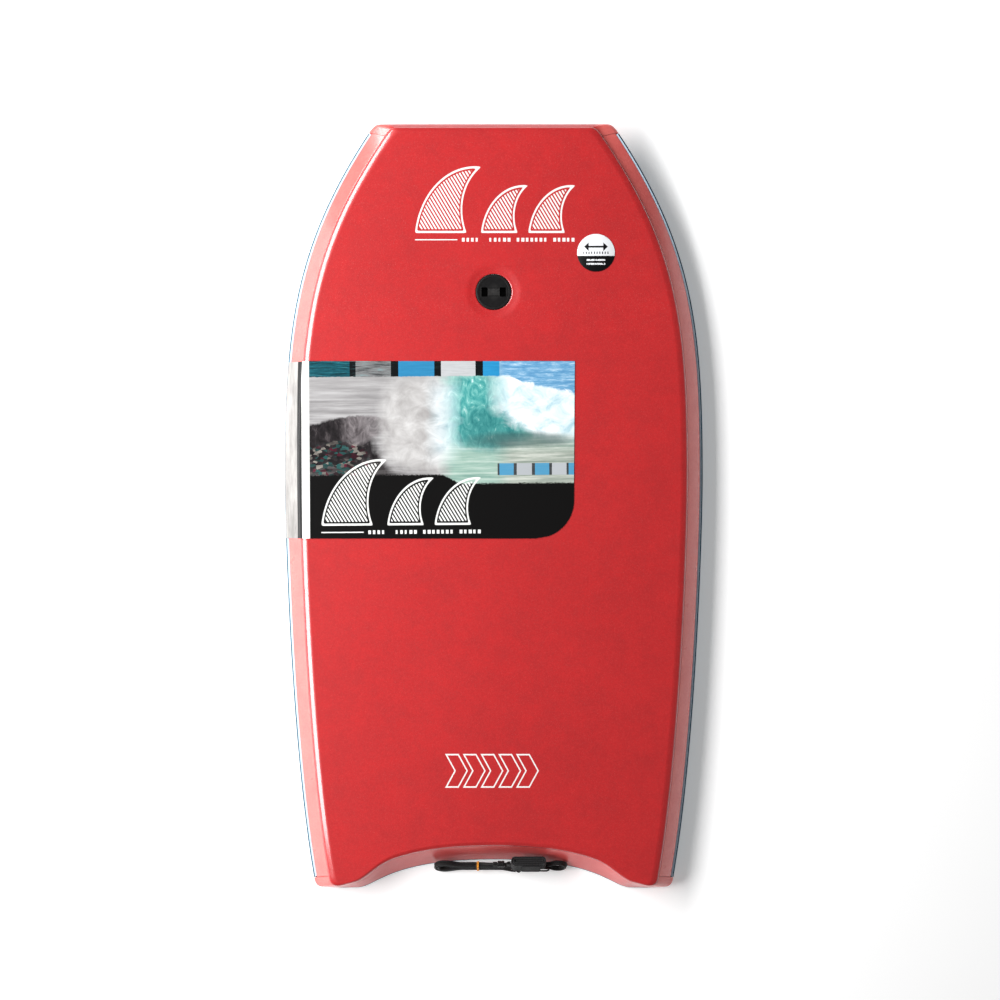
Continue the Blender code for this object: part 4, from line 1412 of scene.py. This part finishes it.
def weaveGroup():
    # threads that pass over and under each other; the vector counts threads each way
    tree, given, wanted = group("weave", [("Vector", "NodeSocketVector", None)],
                                [("Height", "NodeSocketFloat"), ("Gap", "NodeSocketFloat")])
    w = Wires(tree)
    a, b, _ = split(w, given["Vector"])
    ridge = []
    for value in (a, b):
        saw = w.maths("PINGPONG", value, 0.5)
        ridge.append(w.times(saw, 2.0))
    cell = w.plus(w.maths("FLOOR", a), w.maths("FLOOR", b))
    over = w.maths("FLOORED_MODULO", cell, 2.0)
    first = w.times(ridge[0], w.scaled(ridge[1], 0.4, 0.6))
    second = w.times(ridge[1], w.scaled(ridge[0], 0.4, 0.6))
    height = w.plus(w.times(first, over),
                     w.times(second, w.minus(1.0, over)))
    w.feed(wanted["Height"], w.maths("POWER", height, 0.6))
    w.feed(wanted["Gap"], w.minus(1.0, w.step(height, 0.12, 0.16)))
    return tree


def dotNetGroup():
    # how far each place is from the nearest dot of an even net
    tree, given, wanted = group("dotNet", [("Vector", "NodeSocketVector", None),
                                           ("Pitch", "NodeSocketFloat", 4.0)],
                                [("Distance", "NodeSocketFloat")])
    w = Wires(tree)
    tall = w.times(given["Pitch"], sqrt(3))
    size = merge(w, given["Pitch"], tall, 1.0)
    near = []
    for shift in (0.0, 0.5):
        moved = vectorMaths(w, "ADD", vectorMaths(w, "DIVIDE", given["Vector"], size), (shift, shift, 0.0))
        wrapped = vectorMaths(w, "WRAP", moved, (0.5, 0.5, 0.5), (-0.5, -0.5, -0.5))
        back = vectorMaths(w, "MULTIPLY", wrapped, merge(w, given["Pitch"], tall, 0.0))
        near.append(vectorMaths(w, "LENGTH", back))
    w.feed(wanted["Distance"], w.maths("MINIMUM", *near))
    return tree


def finGroup():
    # a swept fin one unit tall, as the depth inside its edge
    tree, given, wanted = group("fin", [("Vector", "NodeSocketVector", None)], [("Depth", "NodeSocketFloat")])
    w = Wires(tree)
    flat = vectorMaths(w, "MULTIPLY", given["Vector"], (1.0, 1.0, 0.0))
    lead = w.minus(1.15, vectorMaths(w, "DISTANCE", flat, (0.641, -0.145, 0.0)))
    trail = w.minus(vectorMaths(w, "DISTANCE", flat, (1.15, 0.35, 0.0)), 0.75)
    foot = split(w, flat)[1]
    both = w.maths("SMOOTH_MIN", lead, trail, 0.06)
    w.feed(wanted["Depth"], w.maths("SMOOTH_MIN", both, foot, 0.06))
    return tree


emblem = {
    "fins": ((-62.0, 62.0, 78.0), (7.0, 44.0, 56.0), (63.0, 44.0, 56.0)),   # x, width and height in mm
    "edge": 1.9, "margin": 3.6, "hatchPitch": 4.2, "hatchLean": 0.6,
    "ruleX": (-93.0, -43.0), "ruleY": (-8.6, -7.4),
    "barsX": (-38.0, 96.0), "barsY": (-10.2, -5.8), "barPitch": 5.4,
    "onDeck": (0.0, 326.5, 0.0), "onLabel": (-111.0, -18.5, 0.0),
}


def emblemGroup(groups):
    # three fins with an outline and a slanted hatch, over a rule and a row of small bars, in mm
    tree, given, wanted = group("emblem", [("Vector", "NodeSocketVector", None)],
                                [("Ink", "NodeSocketFloat")])
    w = Wires(tree)
    vector = given["Vector"]
    x, y, _ = split(w, vector)
    slant = w.scaled(y, emblem["hatchLean"], x)
    hatch = w.between(w.maths("FRACT", w.over(slant, emblem["hatchPitch"])), 0.2, 0.72, 0.12)
    ink = None
    for at, wide, tall in emblem["fins"]:
        moved = vectorMaths(w, "SUBTRACT", vector, (at, 0.0, 0.0))
        local = vectorMaths(w, "DIVIDE", moved, (wide, tall, 1.0))
        depth = w.times(place(w, groups["fin"], Vector=local)["Depth"], wide)
        edge = w.between(depth, 0.0, emblem["edge"], 0.5)
        net = w.times(w.step(depth, emblem["margin"], 0.5), hatch)
        one = w.most(edge, net)
        ink = one if ink is None else w.most(ink, one)
    rule = w.times(w.between(y, *emblem["ruleY"], 0.4), w.between(x, *emblem["ruleX"], 0.4))
    run = w.maths("FRACT", w.over(x, emblem["barPitch"]))
    number = w.maths("FLOOR", w.over(x, emblem["barPitch"]))
    drawn = w.add("ShaderNodeTexWhiteNoise", {"noise_dimensions": "1D"}, W=number).outputs["Value"]
    wideBar = w.scaled(drawn, 0.35, 0.40)
    bars = w.times(w.between(run, 0.06, wideBar, 0.08), w.between(y, *emblem["barsY"], 0.4))
    bars = w.times(bars, w.times(w.between(x, *emblem["barsX"], 0.4),
                                             w.step(drawn, 0.12, 0.01)))
    w.feed(wanted["Ink"], w.most(ink, w.most(rule, bars)))
    return tree


# Finishes
colours = {
    "deck": (189, 28, 31), "deckDeep": (160, 16, 21),
    # the rails' and the tail face's lighter pink is the foam's red with a painted reflection of the film's
    # sheen mixed in
    "rail": (236, 112, 106), "railDeep": (220, 80, 78),
    "tail": (220, 84, 82), "tailDeep": (204, 66, 66),
    "stripe": (196, 214, 228), "stripeDeep": (152, 188, 214),
    "teal": (24, 86, 110), "tealDeep": (12, 60, 82),
    "white": (240, 240, 238), "black": (12, 12, 13), "charcoal": (13, 12, 13),
}


def tone(name):
    return dye(*colours[name])


railCoat = 0.6


def foamFinish(name, groups, base, deep, grain, gloss, coat):
    made, w, shader, where = newMaterial(name)
    skin = place(w, groups["foamSkin"], Vector=where, Colour=tone(base), Deep=tone(deep), Grain=grain,
                 Gloss=gloss)
    w.feed(shader.inputs["Base Color"], skin["Colour"])
    w.feed(shader.inputs["Roughness"], skin["Roughness"])
    w.feed(shader.inputs["Normal"], w.bump(skin["Height"], 0.22, 0.0007))
    shader.inputs["Specular IOR Level"].default_value = 0.34
    shader.inputs["Coat Weight"].default_value = coat
    shader.inputs["Coat Roughness"].default_value = 0.14
    shader.inputs["Coat IOR"].default_value = 1.6
    return made, w, shader, where, skin


# the row of chevrons by the tail, in mm
chevron = {"y": -310.0, "lean": 0.55, "pitch": 21.0, "shift": -3.5, "wide": 8.0, "tall": 20.0,
           "line": 1.7, "last": 2.5}


def deckFoam(groups):
    made, w, shader, where, skin = foamFinish("deckFoam", groups, "deck", "deckDeep", 0.62, 0.44, 1.0)
    inMm = vectorMaths(w, "SCALE", where, scale=1000.0)
    x, y, _ = split(w, inMm)
    top = place(w, groups["emblem"], Vector=vectorMaths(w, "SUBTRACT", inMm, emblem["onDeck"]))["Ink"]
    tail = w.minus(y, chevron["y"])
    slant = w.times(w.size(tail), chevron["lean"])
    wrapped = w.maths("WRAP", w.plus(w.plus(x, chevron["shift"]), slant),
                      chevron["pitch"] / 2, -chevron["pitch"] / 2)
    sideways = w.minus(chevron["wide"], w.size(wrapped))
    upright = w.minus(chevron["tall"], w.size(tail))
    depth = w.maths("MINIMUM", sideways, upright)
    moved = w.plus(w.plus(x, chevron["shift"] + chevron["pitch"] / 2), slant)
    number = w.size(w.maths("FLOOR", w.over(moved, chevron["pitch"])))
    chevrons = w.times(w.between(depth, 0.0, chevron["line"], 0.5),
                       w.maths("LESS_THAN", number, chevron["last"]))
    worn = w.step(w.noise(where, 900.0, 3.0, 0.6), 0.30, 0.08)
    ink = w.times(w.most(top, chevrons), w.scaled(worn, 0.10, 0.88))
    w.feed(shader.inputs["Base Color"], w.mix(ink, skin["Colour"], tone("white")))
    w.feed(shader.inputs["Roughness"], w.scaled(ink, -0.10, skin["Roughness"]))
    return made


def bumperFoam(name, groups, base, deep, gloss, coat, start, soft):
    # its own colour across the middle; round the corners it turns into the rails' colour
    made, w, shader, where, skin = foamFinish(name, groups, base, deep, 0.5, gloss, coat)
    corner = w.step(w.size(split(w, where)[0]), start, soft)
    inside = skin["Colour"].node
    w.feed(inside.inputs["Colour"], w.mix(corner, tone(base), tone("rail")))
    w.feed(inside.inputs["Deep"], w.mix(corner, tone(deep), tone("railDeep")))
    w.feed(shader.inputs["Coat Weight"], w.scaled(corner, railCoat - coat, coat))
    return made


def slickFinish(groups):
    made, w, shader, where = newMaterial("slick")
    marks = place(w, groups["scuffs"], Vector=where, Stretch=(420.0, 9.0, 100.0))
    cloud = w.noise(where, 16.0, 4.0, 0.6)
    colour = w.mix(w.times(cloud, 0.8), tone("teal"), tone("tealDeep"))
    w.feed(shader.inputs["Base Color"], w.mix(w.times(marks["Marks"], 0.14), colour,
                                              dye(120, 165, 182)))
    rough = w.scaled(marks["Dust"], 0.14, 0.13)
    w.feed(shader.inputs["Roughness"], w.scaled(marks["Marks"], 0.25, rough))
    ripple = w.plus(w.times(w.noise(where, 60.0, 2.0), 0.9),
                     w.times(marks["Marks"], -0.1))
    w.feed(shader.inputs["Normal"], w.bump(ripple, 0.25, 0.0006))
    shader.inputs["Coat Weight"].default_value = 0.25
    shader.inputs["Coat Roughness"].default_value = 0.08
    return made


def plasticFinish(name, groups, base, gloss, texture):
    made, w, shader, where = newMaterial(name)
    marks = place(w, groups["scuffs"], Vector=where, Stretch=(900.0, 260.0, 500.0))
    edges = w.step(w.add("ShaderNodeNewGeometry").outputs["Pointiness"], 0.54, 0.05)
    colour = w.mix(w.times(marks["Dust"], 0.4), tone(base), dye(30, 29, 29))
    colour = w.mix(w.times(w.times(edges, marks["Dust"]), 0.5), colour,
                   dye(84, 82, 81))
    w.feed(shader.inputs["Base Color"], colour)
    w.feed(shader.inputs["Roughness"], w.scaled(marks["Dust"], 0.28, gloss))
    sand = w.plus(w.noise(where, 2600.0, 2.0), w.times(marks["Marks"], -0.3))
    w.feed(shader.inputs["Normal"], w.bump(sand, texture, 0.0002))
    shader.inputs["Specular IOR Level"].default_value = 0.2
    return made


def along(w, name="along"):
    return split(w, w.add("ShaderNodeUVMap", {"uv_map": name}).outputs[0])


def upTheFace(w, y, z):
    # how far up the sloping tail face a place is
    return w.plus(w.times(y, 0.50), w.times(z, 0.87))


braid = {"strands": 8.0, "pitch": 0.0011}
threads = {"along": 0.00055, "up": 0.0007, "rib": 0.0034}
hooks = {"pitch": 0.9, "radius": 0.45}                  # in mm


def cordFinish(groups):
    made, w, shader, where = newMaterial("cordNylon")
    run, turn, _ = along(w)
    a, b = [w.scaled(turn, way * braid["strands"], w.over(run, braid["pitch"])) for way in (1, -1)]
    strands = place(w, groups["weave"], Vector=merge(w, a, b))
    fuzz = w.noise(where, 2400.0, 3.0, 0.7)
    # darker where the strands sink between each other and lighter on their crowns: painted shade
    colour = w.mix(strands["Height"], dye(8, 8, 9), dye(30, 29, 30))
    w.feed(shader.inputs["Base Color"], w.mix(w.times(fuzz, 0.25), colour, dye(46, 45, 45)))
    w.feed(shader.inputs["Roughness"], w.scaled(strands["Height"], -0.16, 0.66))
    w.feed(shader.inputs["Normal"], w.bump(w.scaled(fuzz, 0.15, strands["Height"]), 0.9, 0.00025))
    shader.inputs["Sheen Weight"].default_value = 0.08
    shader.inputs["Specular IOR Level"].default_value = 0.2
    return made


def webbingFinish(groups):
    made, w, shader, where = newMaterial("webbing")
    x, y, z = split(w, where)
    up = upTheFace(w, y, z)
    counted = merge(w, w.over(x, threads["along"]), w.over(up, threads["up"]))
    weave = place(w, groups["weave"], Vector=counted)
    fuzz = w.noise(where, 1900.0, 4.0, 0.7)
    # darker where the threads sink: painted shade
    colour = w.mix(weave["Height"], dye(8, 8, 9), dye(32, 31, 33))
    colour = w.mix(w.times(fuzz, 0.3), colour, dye(50, 49, 50))
    # darker stripes at each rib pitch along the strap: painted shade of the ribs
    rib = w.times(w.maths("PINGPONG", w.over(x, threads["rib"]), 0.5), 2.0)
    w.feed(shader.inputs["Base Color"], w.mix(w.times(rib, 0.5), colour, dye(5, 5, 6)))
    w.feed(shader.inputs["Roughness"], w.scaled(fuzz, 0.2, 0.62))
    w.feed(shader.inputs["Normal"], w.bump(weave["Height"], 0.8, 0.0002))
    shader.inputs["Sheen Weight"].default_value = 0.1
    shader.inputs["Specular IOR Level"].default_value = 0.2
    return made


def hookFinish(groups):
    made, w, shader, where = newMaterial("hookTape")
    x, y, z = split(w, where)
    up = upTheFace(w, y, z)
    inMm = merge(w, w.times(x, 1000.0), w.times(up, 1000.0))
    net = place(w, groups["dotNet"], Vector=inMm, Pitch=hooks["pitch"])
    knob = w.minus(1.0, w.over(net["Distance"], hooks["radius"]), clamp=True)
    fuzz = w.noise(where, 1500.0, 4.0, 0.7)
    # lighter on the hooks' tops and darker between them: painted shade
    colour = w.mix(knob, dye(10, 10, 11), dye(42, 41, 43))
    w.feed(shader.inputs["Base Color"], w.mix(w.times(fuzz, 0.25), colour, dye(56, 55, 56)))
    w.feed(shader.inputs["Roughness"], w.scaled(fuzz, 0.25, 0.5))
    w.feed(shader.inputs["Normal"], w.bump(knob, 0.9, 0.0003))
    shader.inputs["Specular IOR Level"].default_value = 0.2
    return made


def bandFinish(groups):
    made, w, shader, where = newMaterial("bandRubber")
    marks = place(w, groups["scuffs"], Vector=where, Stretch=(1200.0, 90.0, 90.0))
    colour = w.mix(marks["Dust"], dye(250, 172, 44), dye(232, 142, 26))
    w.feed(shader.inputs["Base Color"], w.mix(w.times(marks["Marks"], 0.3), colour,
                                              dye(248, 196, 128)))
    w.feed(shader.inputs["Roughness"], w.scaled(marks["Dust"], 0.2, 0.45))
    w.feed(shader.inputs["Normal"], w.bump(marks["Marks"], 0.3, 0.0001))
    return made


def beadFinish():
    made, w, shader, where = newMaterial("beadFoam")
    beads = w.add("ShaderNodeTexVoronoi", {"feature": "DISTANCE_TO_EDGE"}, Vector=where, Scale=230.0)
    seam = w.step(beads.outputs["Distance"], 0.05, 0.08)
    shade = w.noise(where, 120.0, 3.0)
    colour = w.mix(seam, dye(196, 196, 192), w.mix(shade, dye(238, 238, 234), dye(226, 227, 224)))
    w.feed(shader.inputs["Base Color"], colour)
    w.feed(shader.inputs["Roughness"], w.scaled(shade, 0.2, 0.7))
    w.feed(shader.inputs["Normal"], w.bump(beads.outputs["Distance"], 0.5, 0.0008))
    return made


# the sticker's print, in mm from its middle
stickerArt = {"darkBelow": -3.6, "shaftY": (6.1, 8.3), "shaftHalf": 9.5, "tip": 14.0, "headSlope": 0.95,
              "headX": (8.6, 14.2), "tickPitch": 3.2, "tickY": (-1.4, 1.4), "tickHalf": 15.0,
              "rowPitch": 4.6, "rowsY": (-16.2, -5.4), "rowHalf": 11.0}


def stickerFinish():
    art = stickerArt
    made, w, shader, where = newMaterial("stickerPrint")
    local = vectorMaths(w, "SCALE", vectorMaths(w, "SUBTRACT", where, (sticker["x"], sticker["y"], 0.0)),
                        scale=1000.0)
    x, y, _ = split(w, local)
    wide = w.size(x)
    dark = w.minus(1.0, w.step(y, art["darkBelow"], 0.3))
    shaft = w.times(w.between(y, *art["shaftY"], 0.3), w.minus(1.0, w.step(wide, art["shaftHalf"], 0.3)))
    off = w.size(w.minus(y, sum(art["shaftY"]) / 2))
    head = w.minus(w.times(w.minus(art["tip"], wide), art["headSlope"]), off)
    arrow = w.most(shaft, w.times(w.step(head, 0.0, 0.3), w.between(wide, *art["headX"], 0.3)))
    ticks = w.times(w.between(w.maths("FRACT", w.over(x, art["tickPitch"])), 0.25, 0.62, 0.12),
                    w.times(w.between(y, *art["tickY"], 0.3), w.maths("LESS_THAN", wide, art["tickHalf"])))
    ink = w.most(w.most(arrow, ticks), dark)
    rows = w.between(w.maths("FRACT", w.over(w.plus(y, 20.0), art["rowPitch"])), 0.30, 0.72, 0.10)
    gaps = w.step(w.noise(vectorMaths(w, "MULTIPLY", local, (0.5, 0.22, 0.0)), 1.0, 1.0), 0.40, 0.02)
    lines = w.times(w.times(rows, gaps),
                    w.times(w.between(y, *art["rowsY"], 0.3), w.maths("LESS_THAN", wide, art["rowHalf"])))
    ink = w.times(ink, w.minus(1.0, lines))
    grain = w.noise(where, 700.0, 3.0)
    paper = w.mix(grain, dye(238, 240, 242), dye(226, 228, 231))
    w.feed(shader.inputs["Base Color"], w.mix(ink, paper, tone("black")))
    w.feed(shader.inputs["Roughness"], w.scaled(grain, 0.15, 0.25))
    w.feed(shader.inputs["Normal"], w.bump(grain, 0.08, 0.0002))
    shader.inputs["Specular IOR Level"].default_value = 0.2
    return made


# The label's picture, painted in mm: x across the deck, y toward the nose
labelArt = {
    "strip": ((-219, (22, 84, 96)), (-170, (12, 14, 16)), (-163, (122, 123, 124)), (-121, (12, 14, 16)),
              (-112.5, (48, 128, 172)), (-70, (12, 14, 16)), (-62, (186, 188, 190)), (-21, (12, 14, 16)),
              (-12, (40, 138, 190)), (8, (40, 138, 190))),
    "swatches": ((5, (12, 14, 16)), (7, (54, 138, 178)), (24, (12, 14, 16)), (27.5, (166, 170, 174)),
                 (45.6, (12, 14, 16)), (49, (54, 138, 178)), (66, (12, 14, 16)), (69, (172, 176, 180)),
                 (86.5, (12, 14, 16)), (89, (54, 138, 178)), (97, (54, 138, 178))),
}


def bands(w, value, stops):
    # plain colours side by side; each pair says where one starts
    low, high = stops[0][0], stops[-1][0]
    made = w.tree.nodes.new("ShaderNodeValToRGB")
    w.feed(made.inputs[0], w.over(w.minus(value, low), high - low))
    made.color_ramp.interpolation = "CONSTANT"
    bar = made.color_ramp
    while len(bar.elements) < len(stops):
        bar.elements.new(0.5)
    for element, (at, colour) in zip(bar.elements, stops):
        element.position = (at - low) / (high - low)
        element.color = dye(*colour)
    return made.outputs[0]


def labelFinish(groups):
    made, w, shader, _ = newMaterial("labelArt")
    run, across, _ = along(w)
    # the print sits a touch askew on the board
    x = w.times(w.scaled(across, 0.007, run), 1000.0)
    y = w.times(w.scaled(run, -0.007, across), 1000.0)
    spot = merge(w, x, y)

    def noise(sx, sy, detail=4.0, roughness=0.6, shift=0.0, distortion=0.0):
        vector = merge(w, w.times(x, sx), w.scaled(y, sy, shift))
        return w.noise(vector, 1.0, detail, roughness, distortion)

    def tones(value, *stops):
        return w.ramp(value, [(at, rgb(*paint)) for at, paint in stops])

    def blob(cx, cy, rx, ry, rough, soft):
        # an oval with a ragged edge
        flat = vectorMaths(w, "MULTIPLY", vectorMaths(w, "SUBTRACT", spot, (cx, cy, 0.0)),
                           (1.0 / rx, 1.0 / ry, 0.0))
        reach = w.plus(vectorMaths(w, "LENGTH", flat),
                        w.scaled(noise(0.06, 0.06, 6.0, 0.68), rough * 2, -rough))
        return w.minus(1.0, w.step(reach, 1.0, soft))

    def paint(under, over, mask, strength=1.0):
        return w.mix(w.times(mask, strength) if strength != 1.0 else mask, under, over)

    def slope(value, start, end):
        return w.over(w.minus(value, start), end - start, clamp=True)

    streaks = noise(0.012, 0.22, 6.0, 0.68)
    ripples = noise(0.05, 0.30, 6.0, 0.7, 7.0)
    lumps = noise(0.045, 0.055, 7.0, 0.62, 3.0, 0.6)
    curls = noise(0.09, 0.05, 6.0, 0.66, 11.0, 1.6)

    # left picture: grey water, a dark hump, a cloud of spray
    left = tones(streaks, (0.30, (66, 64, 66)), (0.50, (128, 126, 127)), (0.68, (178, 177, 178)))
    haze = slope(y, 40.0, 150.0)
    left = paint(left, dye(176, 174, 174), w.times(haze, 0.55))
    crest = w.scaled(w.maths("SINE", w.scaled(x, 0.03, 6.2)), 8.0, 103.0)
    crest = w.plus(crest, w.scaled(curls, 9.0, -4.5))
    lean = w.plus(w.scaled(y, 0.54, x), w.scaled(lumps, 22.0, -11.0))
    under = w.step(w.minus(crest, y), 0.0, 2.5)
    hump = w.times(under, w.minus(1.0, slope(lean, -104.0, -92.0)))
    dark = tones(curls, (0.34, (18, 16, 17)), (0.56, (42, 38, 40)), (0.78, (92, 86, 87)))
    left = paint(left, dark, hump)
    shelf = w.step(w.minus(y, w.scaled(x, 0.5, 156.0)), 0.0, 6.0)
    tail = w.times(w.times(under, shelf), w.between(x, -176.0, -116.0, 12.0))
    left = paint(left, tones(curls, (0.35, (74, 68, 70)), (0.65, (138, 131, 133))), tail, 0.8)
    spray = w.most(blob(-92.0, 108.0, 40.0, 50.0, 0.26, 0.55),
                    blob(-78.0, 76.0, 52.0, 34.0, 0.26, 0.45))
    foam = tones(lumps, (0.30, (158, 155, 154)), (0.52, (184, 182, 181)), (0.72, (206, 205, 204)))
    left = paint(left, foam, spray)
    ground = w.times(w.minus(1.0, slope(y, 38.0, 62.0)), slope(x, -60.0, -200.0))
    left = paint(left, tones(streaks, (0.35, (36, 33, 34)), (0.6, (110, 106, 106)), (0.8, (188, 186, 184))),
                 ground, 0.9)
    bits = w.add("ShaderNodeTexVoronoi", {"feature": "F1"},
                 Vector=merge(w, w.times(x, 0.19), w.scaled(y, 0.34, curls)), Scale=1.0)
    pick = split(w, bits.outputs["Color"])[0]
    scraps = tones(pick, (0.20, (26, 22, 24)), (0.34, (36, 86, 84)), (0.42, (24, 22, 24)),
                   (0.56, (20, 18, 20)), (0.64, (104, 26, 50)), (0.70, (24, 18, 22)), (0.82, (28, 26, 28)),
                   (0.90, (150, 144, 136)), (0.96, (34, 30, 34)))
    patch = w.times(blob(-186.0, 58.0, 38.0, 22.0, 0.45, 0.30), w.step(pick, 0.22, 0.02))
    left = paint(left, scraps, patch, 0.85)

    # right picture: open sea, a hollow green wave and its white water
    sea = tones(ripples, (0.30, (72, 126, 172)), (0.50, (104, 158, 196)), (0.62, (160, 194, 218)),
                (0.72, (236, 244, 248)))
    face = tones(curls, (0.28, (40, 126, 128)), (0.46, (70, 152, 150)), (0.60, (112, 182, 176)),
                 (0.76, (226, 242, 240)))
    shallows = tones(streaks, (0.30, (112, 148, 138)), (0.50, (152, 180, 168)), (0.70, (196, 210, 202)))
    water = paint(shallows, face, w.times(slope(y, 66.0, 84.0), blob(-14.0, 112.0, 62.0, 54.0, 0.2, 0.5)))
    hollow = blob(-2.0, 96.0, 40.0, 26.0, 0.28, 0.55)
    green = tones(curls, (0.30, (34, 102, 104)), (0.60, (64, 140, 138)), (0.78, (140, 192, 186)))
    water = paint(water, green, hollow, 0.8)
    lip = w.plus(w.scaled(x, -0.24, 159.0), w.scaled(lumps, 18.0, -9.0))
    above = w.times(w.step(w.minus(y, lip), 0.0, 3.0), slope(x, -18.0, 14.0))
    white = tones(lumps, (0.28, (150, 192, 204)), (0.44, (206, 224, 230)), (0.60, (240, 246, 248)),
                  (0.78, (252, 253, 254)))
    edge = w.minus(w.scaled(x, -0.62, 146.0), w.times(lumps, 30.0))
    soup = w.times(w.step(w.minus(y, edge), -14.0, 16.0), slope(x, -10.0, 22.0))
    soup = w.times(soup, slope(y, 74.0, 92.0))
    water = paint(water, white, soup)
    low = w.times(w.minus(1.0, slope(y, 66.0, 88.0)), slope(x, 0.0, 22.0))
    silt = tones(streaks, (0.30, (104, 116, 108)), (0.5, (160, 166, 156)), (0.7, (214, 216, 208)))
    water = paint(water, silt, low, 0.9)
    shade = w.times(blob(34.0, 82.0, 58.0, 9.0, 0.35, 0.6), 0.65)
    water = paint(water, dye(58, 84, 84), shade)
    water = paint(water, sea, above)

    seam = w.plus(x, w.scaled(lumps, 30.0, -15.0))
    art = paint(left, water, w.step(seam, -56.0, 16.0))
    meeting = w.times(w.between(seam, -74.0, -44.0, 18.0), w.between(y, 60.0, 150.0, 24.0))
    art = paint(art, white, meeting, 0.55)

    # the strips
    strip = bands(w, x, labelArt["strip"])
    brushed = noise(0.035, 0.55, 6.0, 0.72, 5.0)
    worn = w.scaled(slope(x, -118.0, -122.0), 0.8, 0.15)
    strip = w.mix(w.times(w.scaled(brushed, 8.0, -3.7, True), worn), strip,
                  w.mix(0.8, strip, dye(10, 18, 24)))
    strip = w.mix(w.times(w.scaled(brushed, -7.0, 3.1, True), worn), strip,
                  w.mix(0.45, strip, dye(120, 190, 196)))
    ragged = w.plus(y, w.scaled(noise(0.3, 0.3), 2.4, -1.2))
    stripMask = w.times(w.step(ragged, 157.5, 0.8), w.minus(1.0, w.step(x, 8.0, 0.6)))
    art = paint(art, strip, stripMask)
    swatches = bands(w, x, labelArt["swatches"])
    swatches = w.mix(w.times(brushed, 0.12), swatches, dye(226, 236, 242))
    art = paint(art, swatches, w.times(w.between(y, 40.0, 54.0, 0.5), w.step(x, 5.0, 0.4)))

    # the black foot of the label and its emblem
    foot = w.scaled(slope(x, -60.0, -40.0), -10.5, 41.0)
    torn = w.plus(y, w.scaled(noise(0.4, 0.7, 6.0, 0.75, 2.0), 9.0, -4.5))
    base = w.minus(1.0, w.step(w.minus(torn, foot), 0.0, 1.0))
    dust = w.step(noise(1.1, 1.4, 4.0, 0.7), 0.72, 0.03)
    ink = w.mix(w.times(dust, 0.22), dye(11, 10, 10), dye(140, 138, 136))
    art = paint(art, ink, base)
    mark = place(w, groups["emblem"], Vector=vectorMaths(w, "SUBTRACT", spot, emblem["onLabel"]))["Ink"]
    mark = w.times(mark, w.minus(1.0, w.step(x, -14.0, 1.0)))
    art = paint(art, dye(240, 240, 238), mark)

    # where the film turns down the rail it is plain: a dark band, then grey further out, which is a painted
    # reflection of the film's gloss
    paintedReflection = tones(noise(0.10, 0.02, 5.0, 0.6), (0.35, (132, 129, 127)), (0.65, (172, 169, 166)))
    outside = w.minus(1.0, w.step(x, -231.0, 2.0))
    band = w.times(w.between(x, -236.0, -226.5, 1.0), w.step(y, -40.0, 1.0))
    art = paint(art, paintedReflection, outside)
    # a pale strip along the rounded deck edge: a painted highlight
    art = paint(art, dye(232, 232, 230), w.between(x, -227.0, -217.5, 0.8))
    art = paint(art, dye(9, 8, 9), band)

    w.feed(shader.inputs["Base Color"], art)
    w.feed(shader.inputs["Roughness"], w.scaled(noise(0.8, 0.8), 0.10, 0.26))
    wrinkles = noise(0.30, 0.018, 4.0, 0.6, 1.0, 0.8)
    turned = w.minus(1.0, slope(x, -232.0, -214.0))
    height = w.plus(w.times(wrinkles, w.scaled(turned, 1.0, 0.10)),
                     w.times(noise(1.5, 1.5), 0.03))
    w.feed(shader.inputs["Normal"], w.bump(height, 0.5, 0.0012))
    shader.inputs["Coat Weight"].default_value = 0.3
    shader.inputs["Coat Roughness"].default_value = 0.2
    shader.inputs["Specular IOR Level"].default_value = 0.12
    return made


def makeFinishes():
    groups = {"foamSkin": foamSkinGroup(), "scuffs": scuffsGroup(), "weave": weaveGroup(),
              "dotNet": dotNetGroup(), "fin": finGroup()}
    groups["emblem"] = emblemGroup(groups)
    made = {
        "deckFoam": deckFoam(groups),
        # the rail and tail colours hold a painted reflection of the film's sheen over the foam's red
        "railFoam": foamFinish("railFoam", groups, "rail", "railDeep", 0.5, 0.30, railCoat)[0],
        "noseFoam": bumperFoam("noseFoam", groups, "deck", "deckDeep", 0.36, 0.6, 0.124, 0.012),
        "tailFoam": bumperFoam("tailFoam", groups, "tail", "tailDeep", 0.34, 0.15, 0.180, 0.022),
        "stripeFoam": foamFinish("stripeFoam", groups, "stripe", "stripeDeep", 0.4, 0.40, 0.2)[0],
        "lowerFoam": foamFinish("lowerFoam", groups, "teal", "tealDeep", 0.5, 0.36, 0.2)[0],
        "slick": slickFinish(groups),
        "plugPlastic": plasticFinish("plugPlastic", groups, "charcoal", 0.26, 0.20),
        "swivelPlastic": plasticFinish("swivelPlastic", groups, "black", 0.16, 0.12),
        "labelArt": labelFinish(groups),
        "stickerPrint": stickerFinish(),
        "cordNylon": cordFinish(groups),
        "webbing": webbingFinish(groups),
        "hookTape": hookFinish(groups),
        "bandRubber": bandFinish(groups),
        "beadFoam": beadFinish(),
    }
    print("finishes made:", len(made))
    return made


bpy.context.scene.view_settings.view_transform = "Standard"
setStudio()
finishes = makeFinishes()
makeCords(finishes["cordNylon"])
makeRails(finishes)
makeDeck(finishes)
makePlug(finishes)
makeLabel(finishes)
makeSticker(finishes)
makeSwivel(finishes)
makeCuff(finishes)
makeBand(finishes)
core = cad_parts["foam_core"]
core.data.materials.clear()
core.data.materials.append(finishes["beadFoam"])
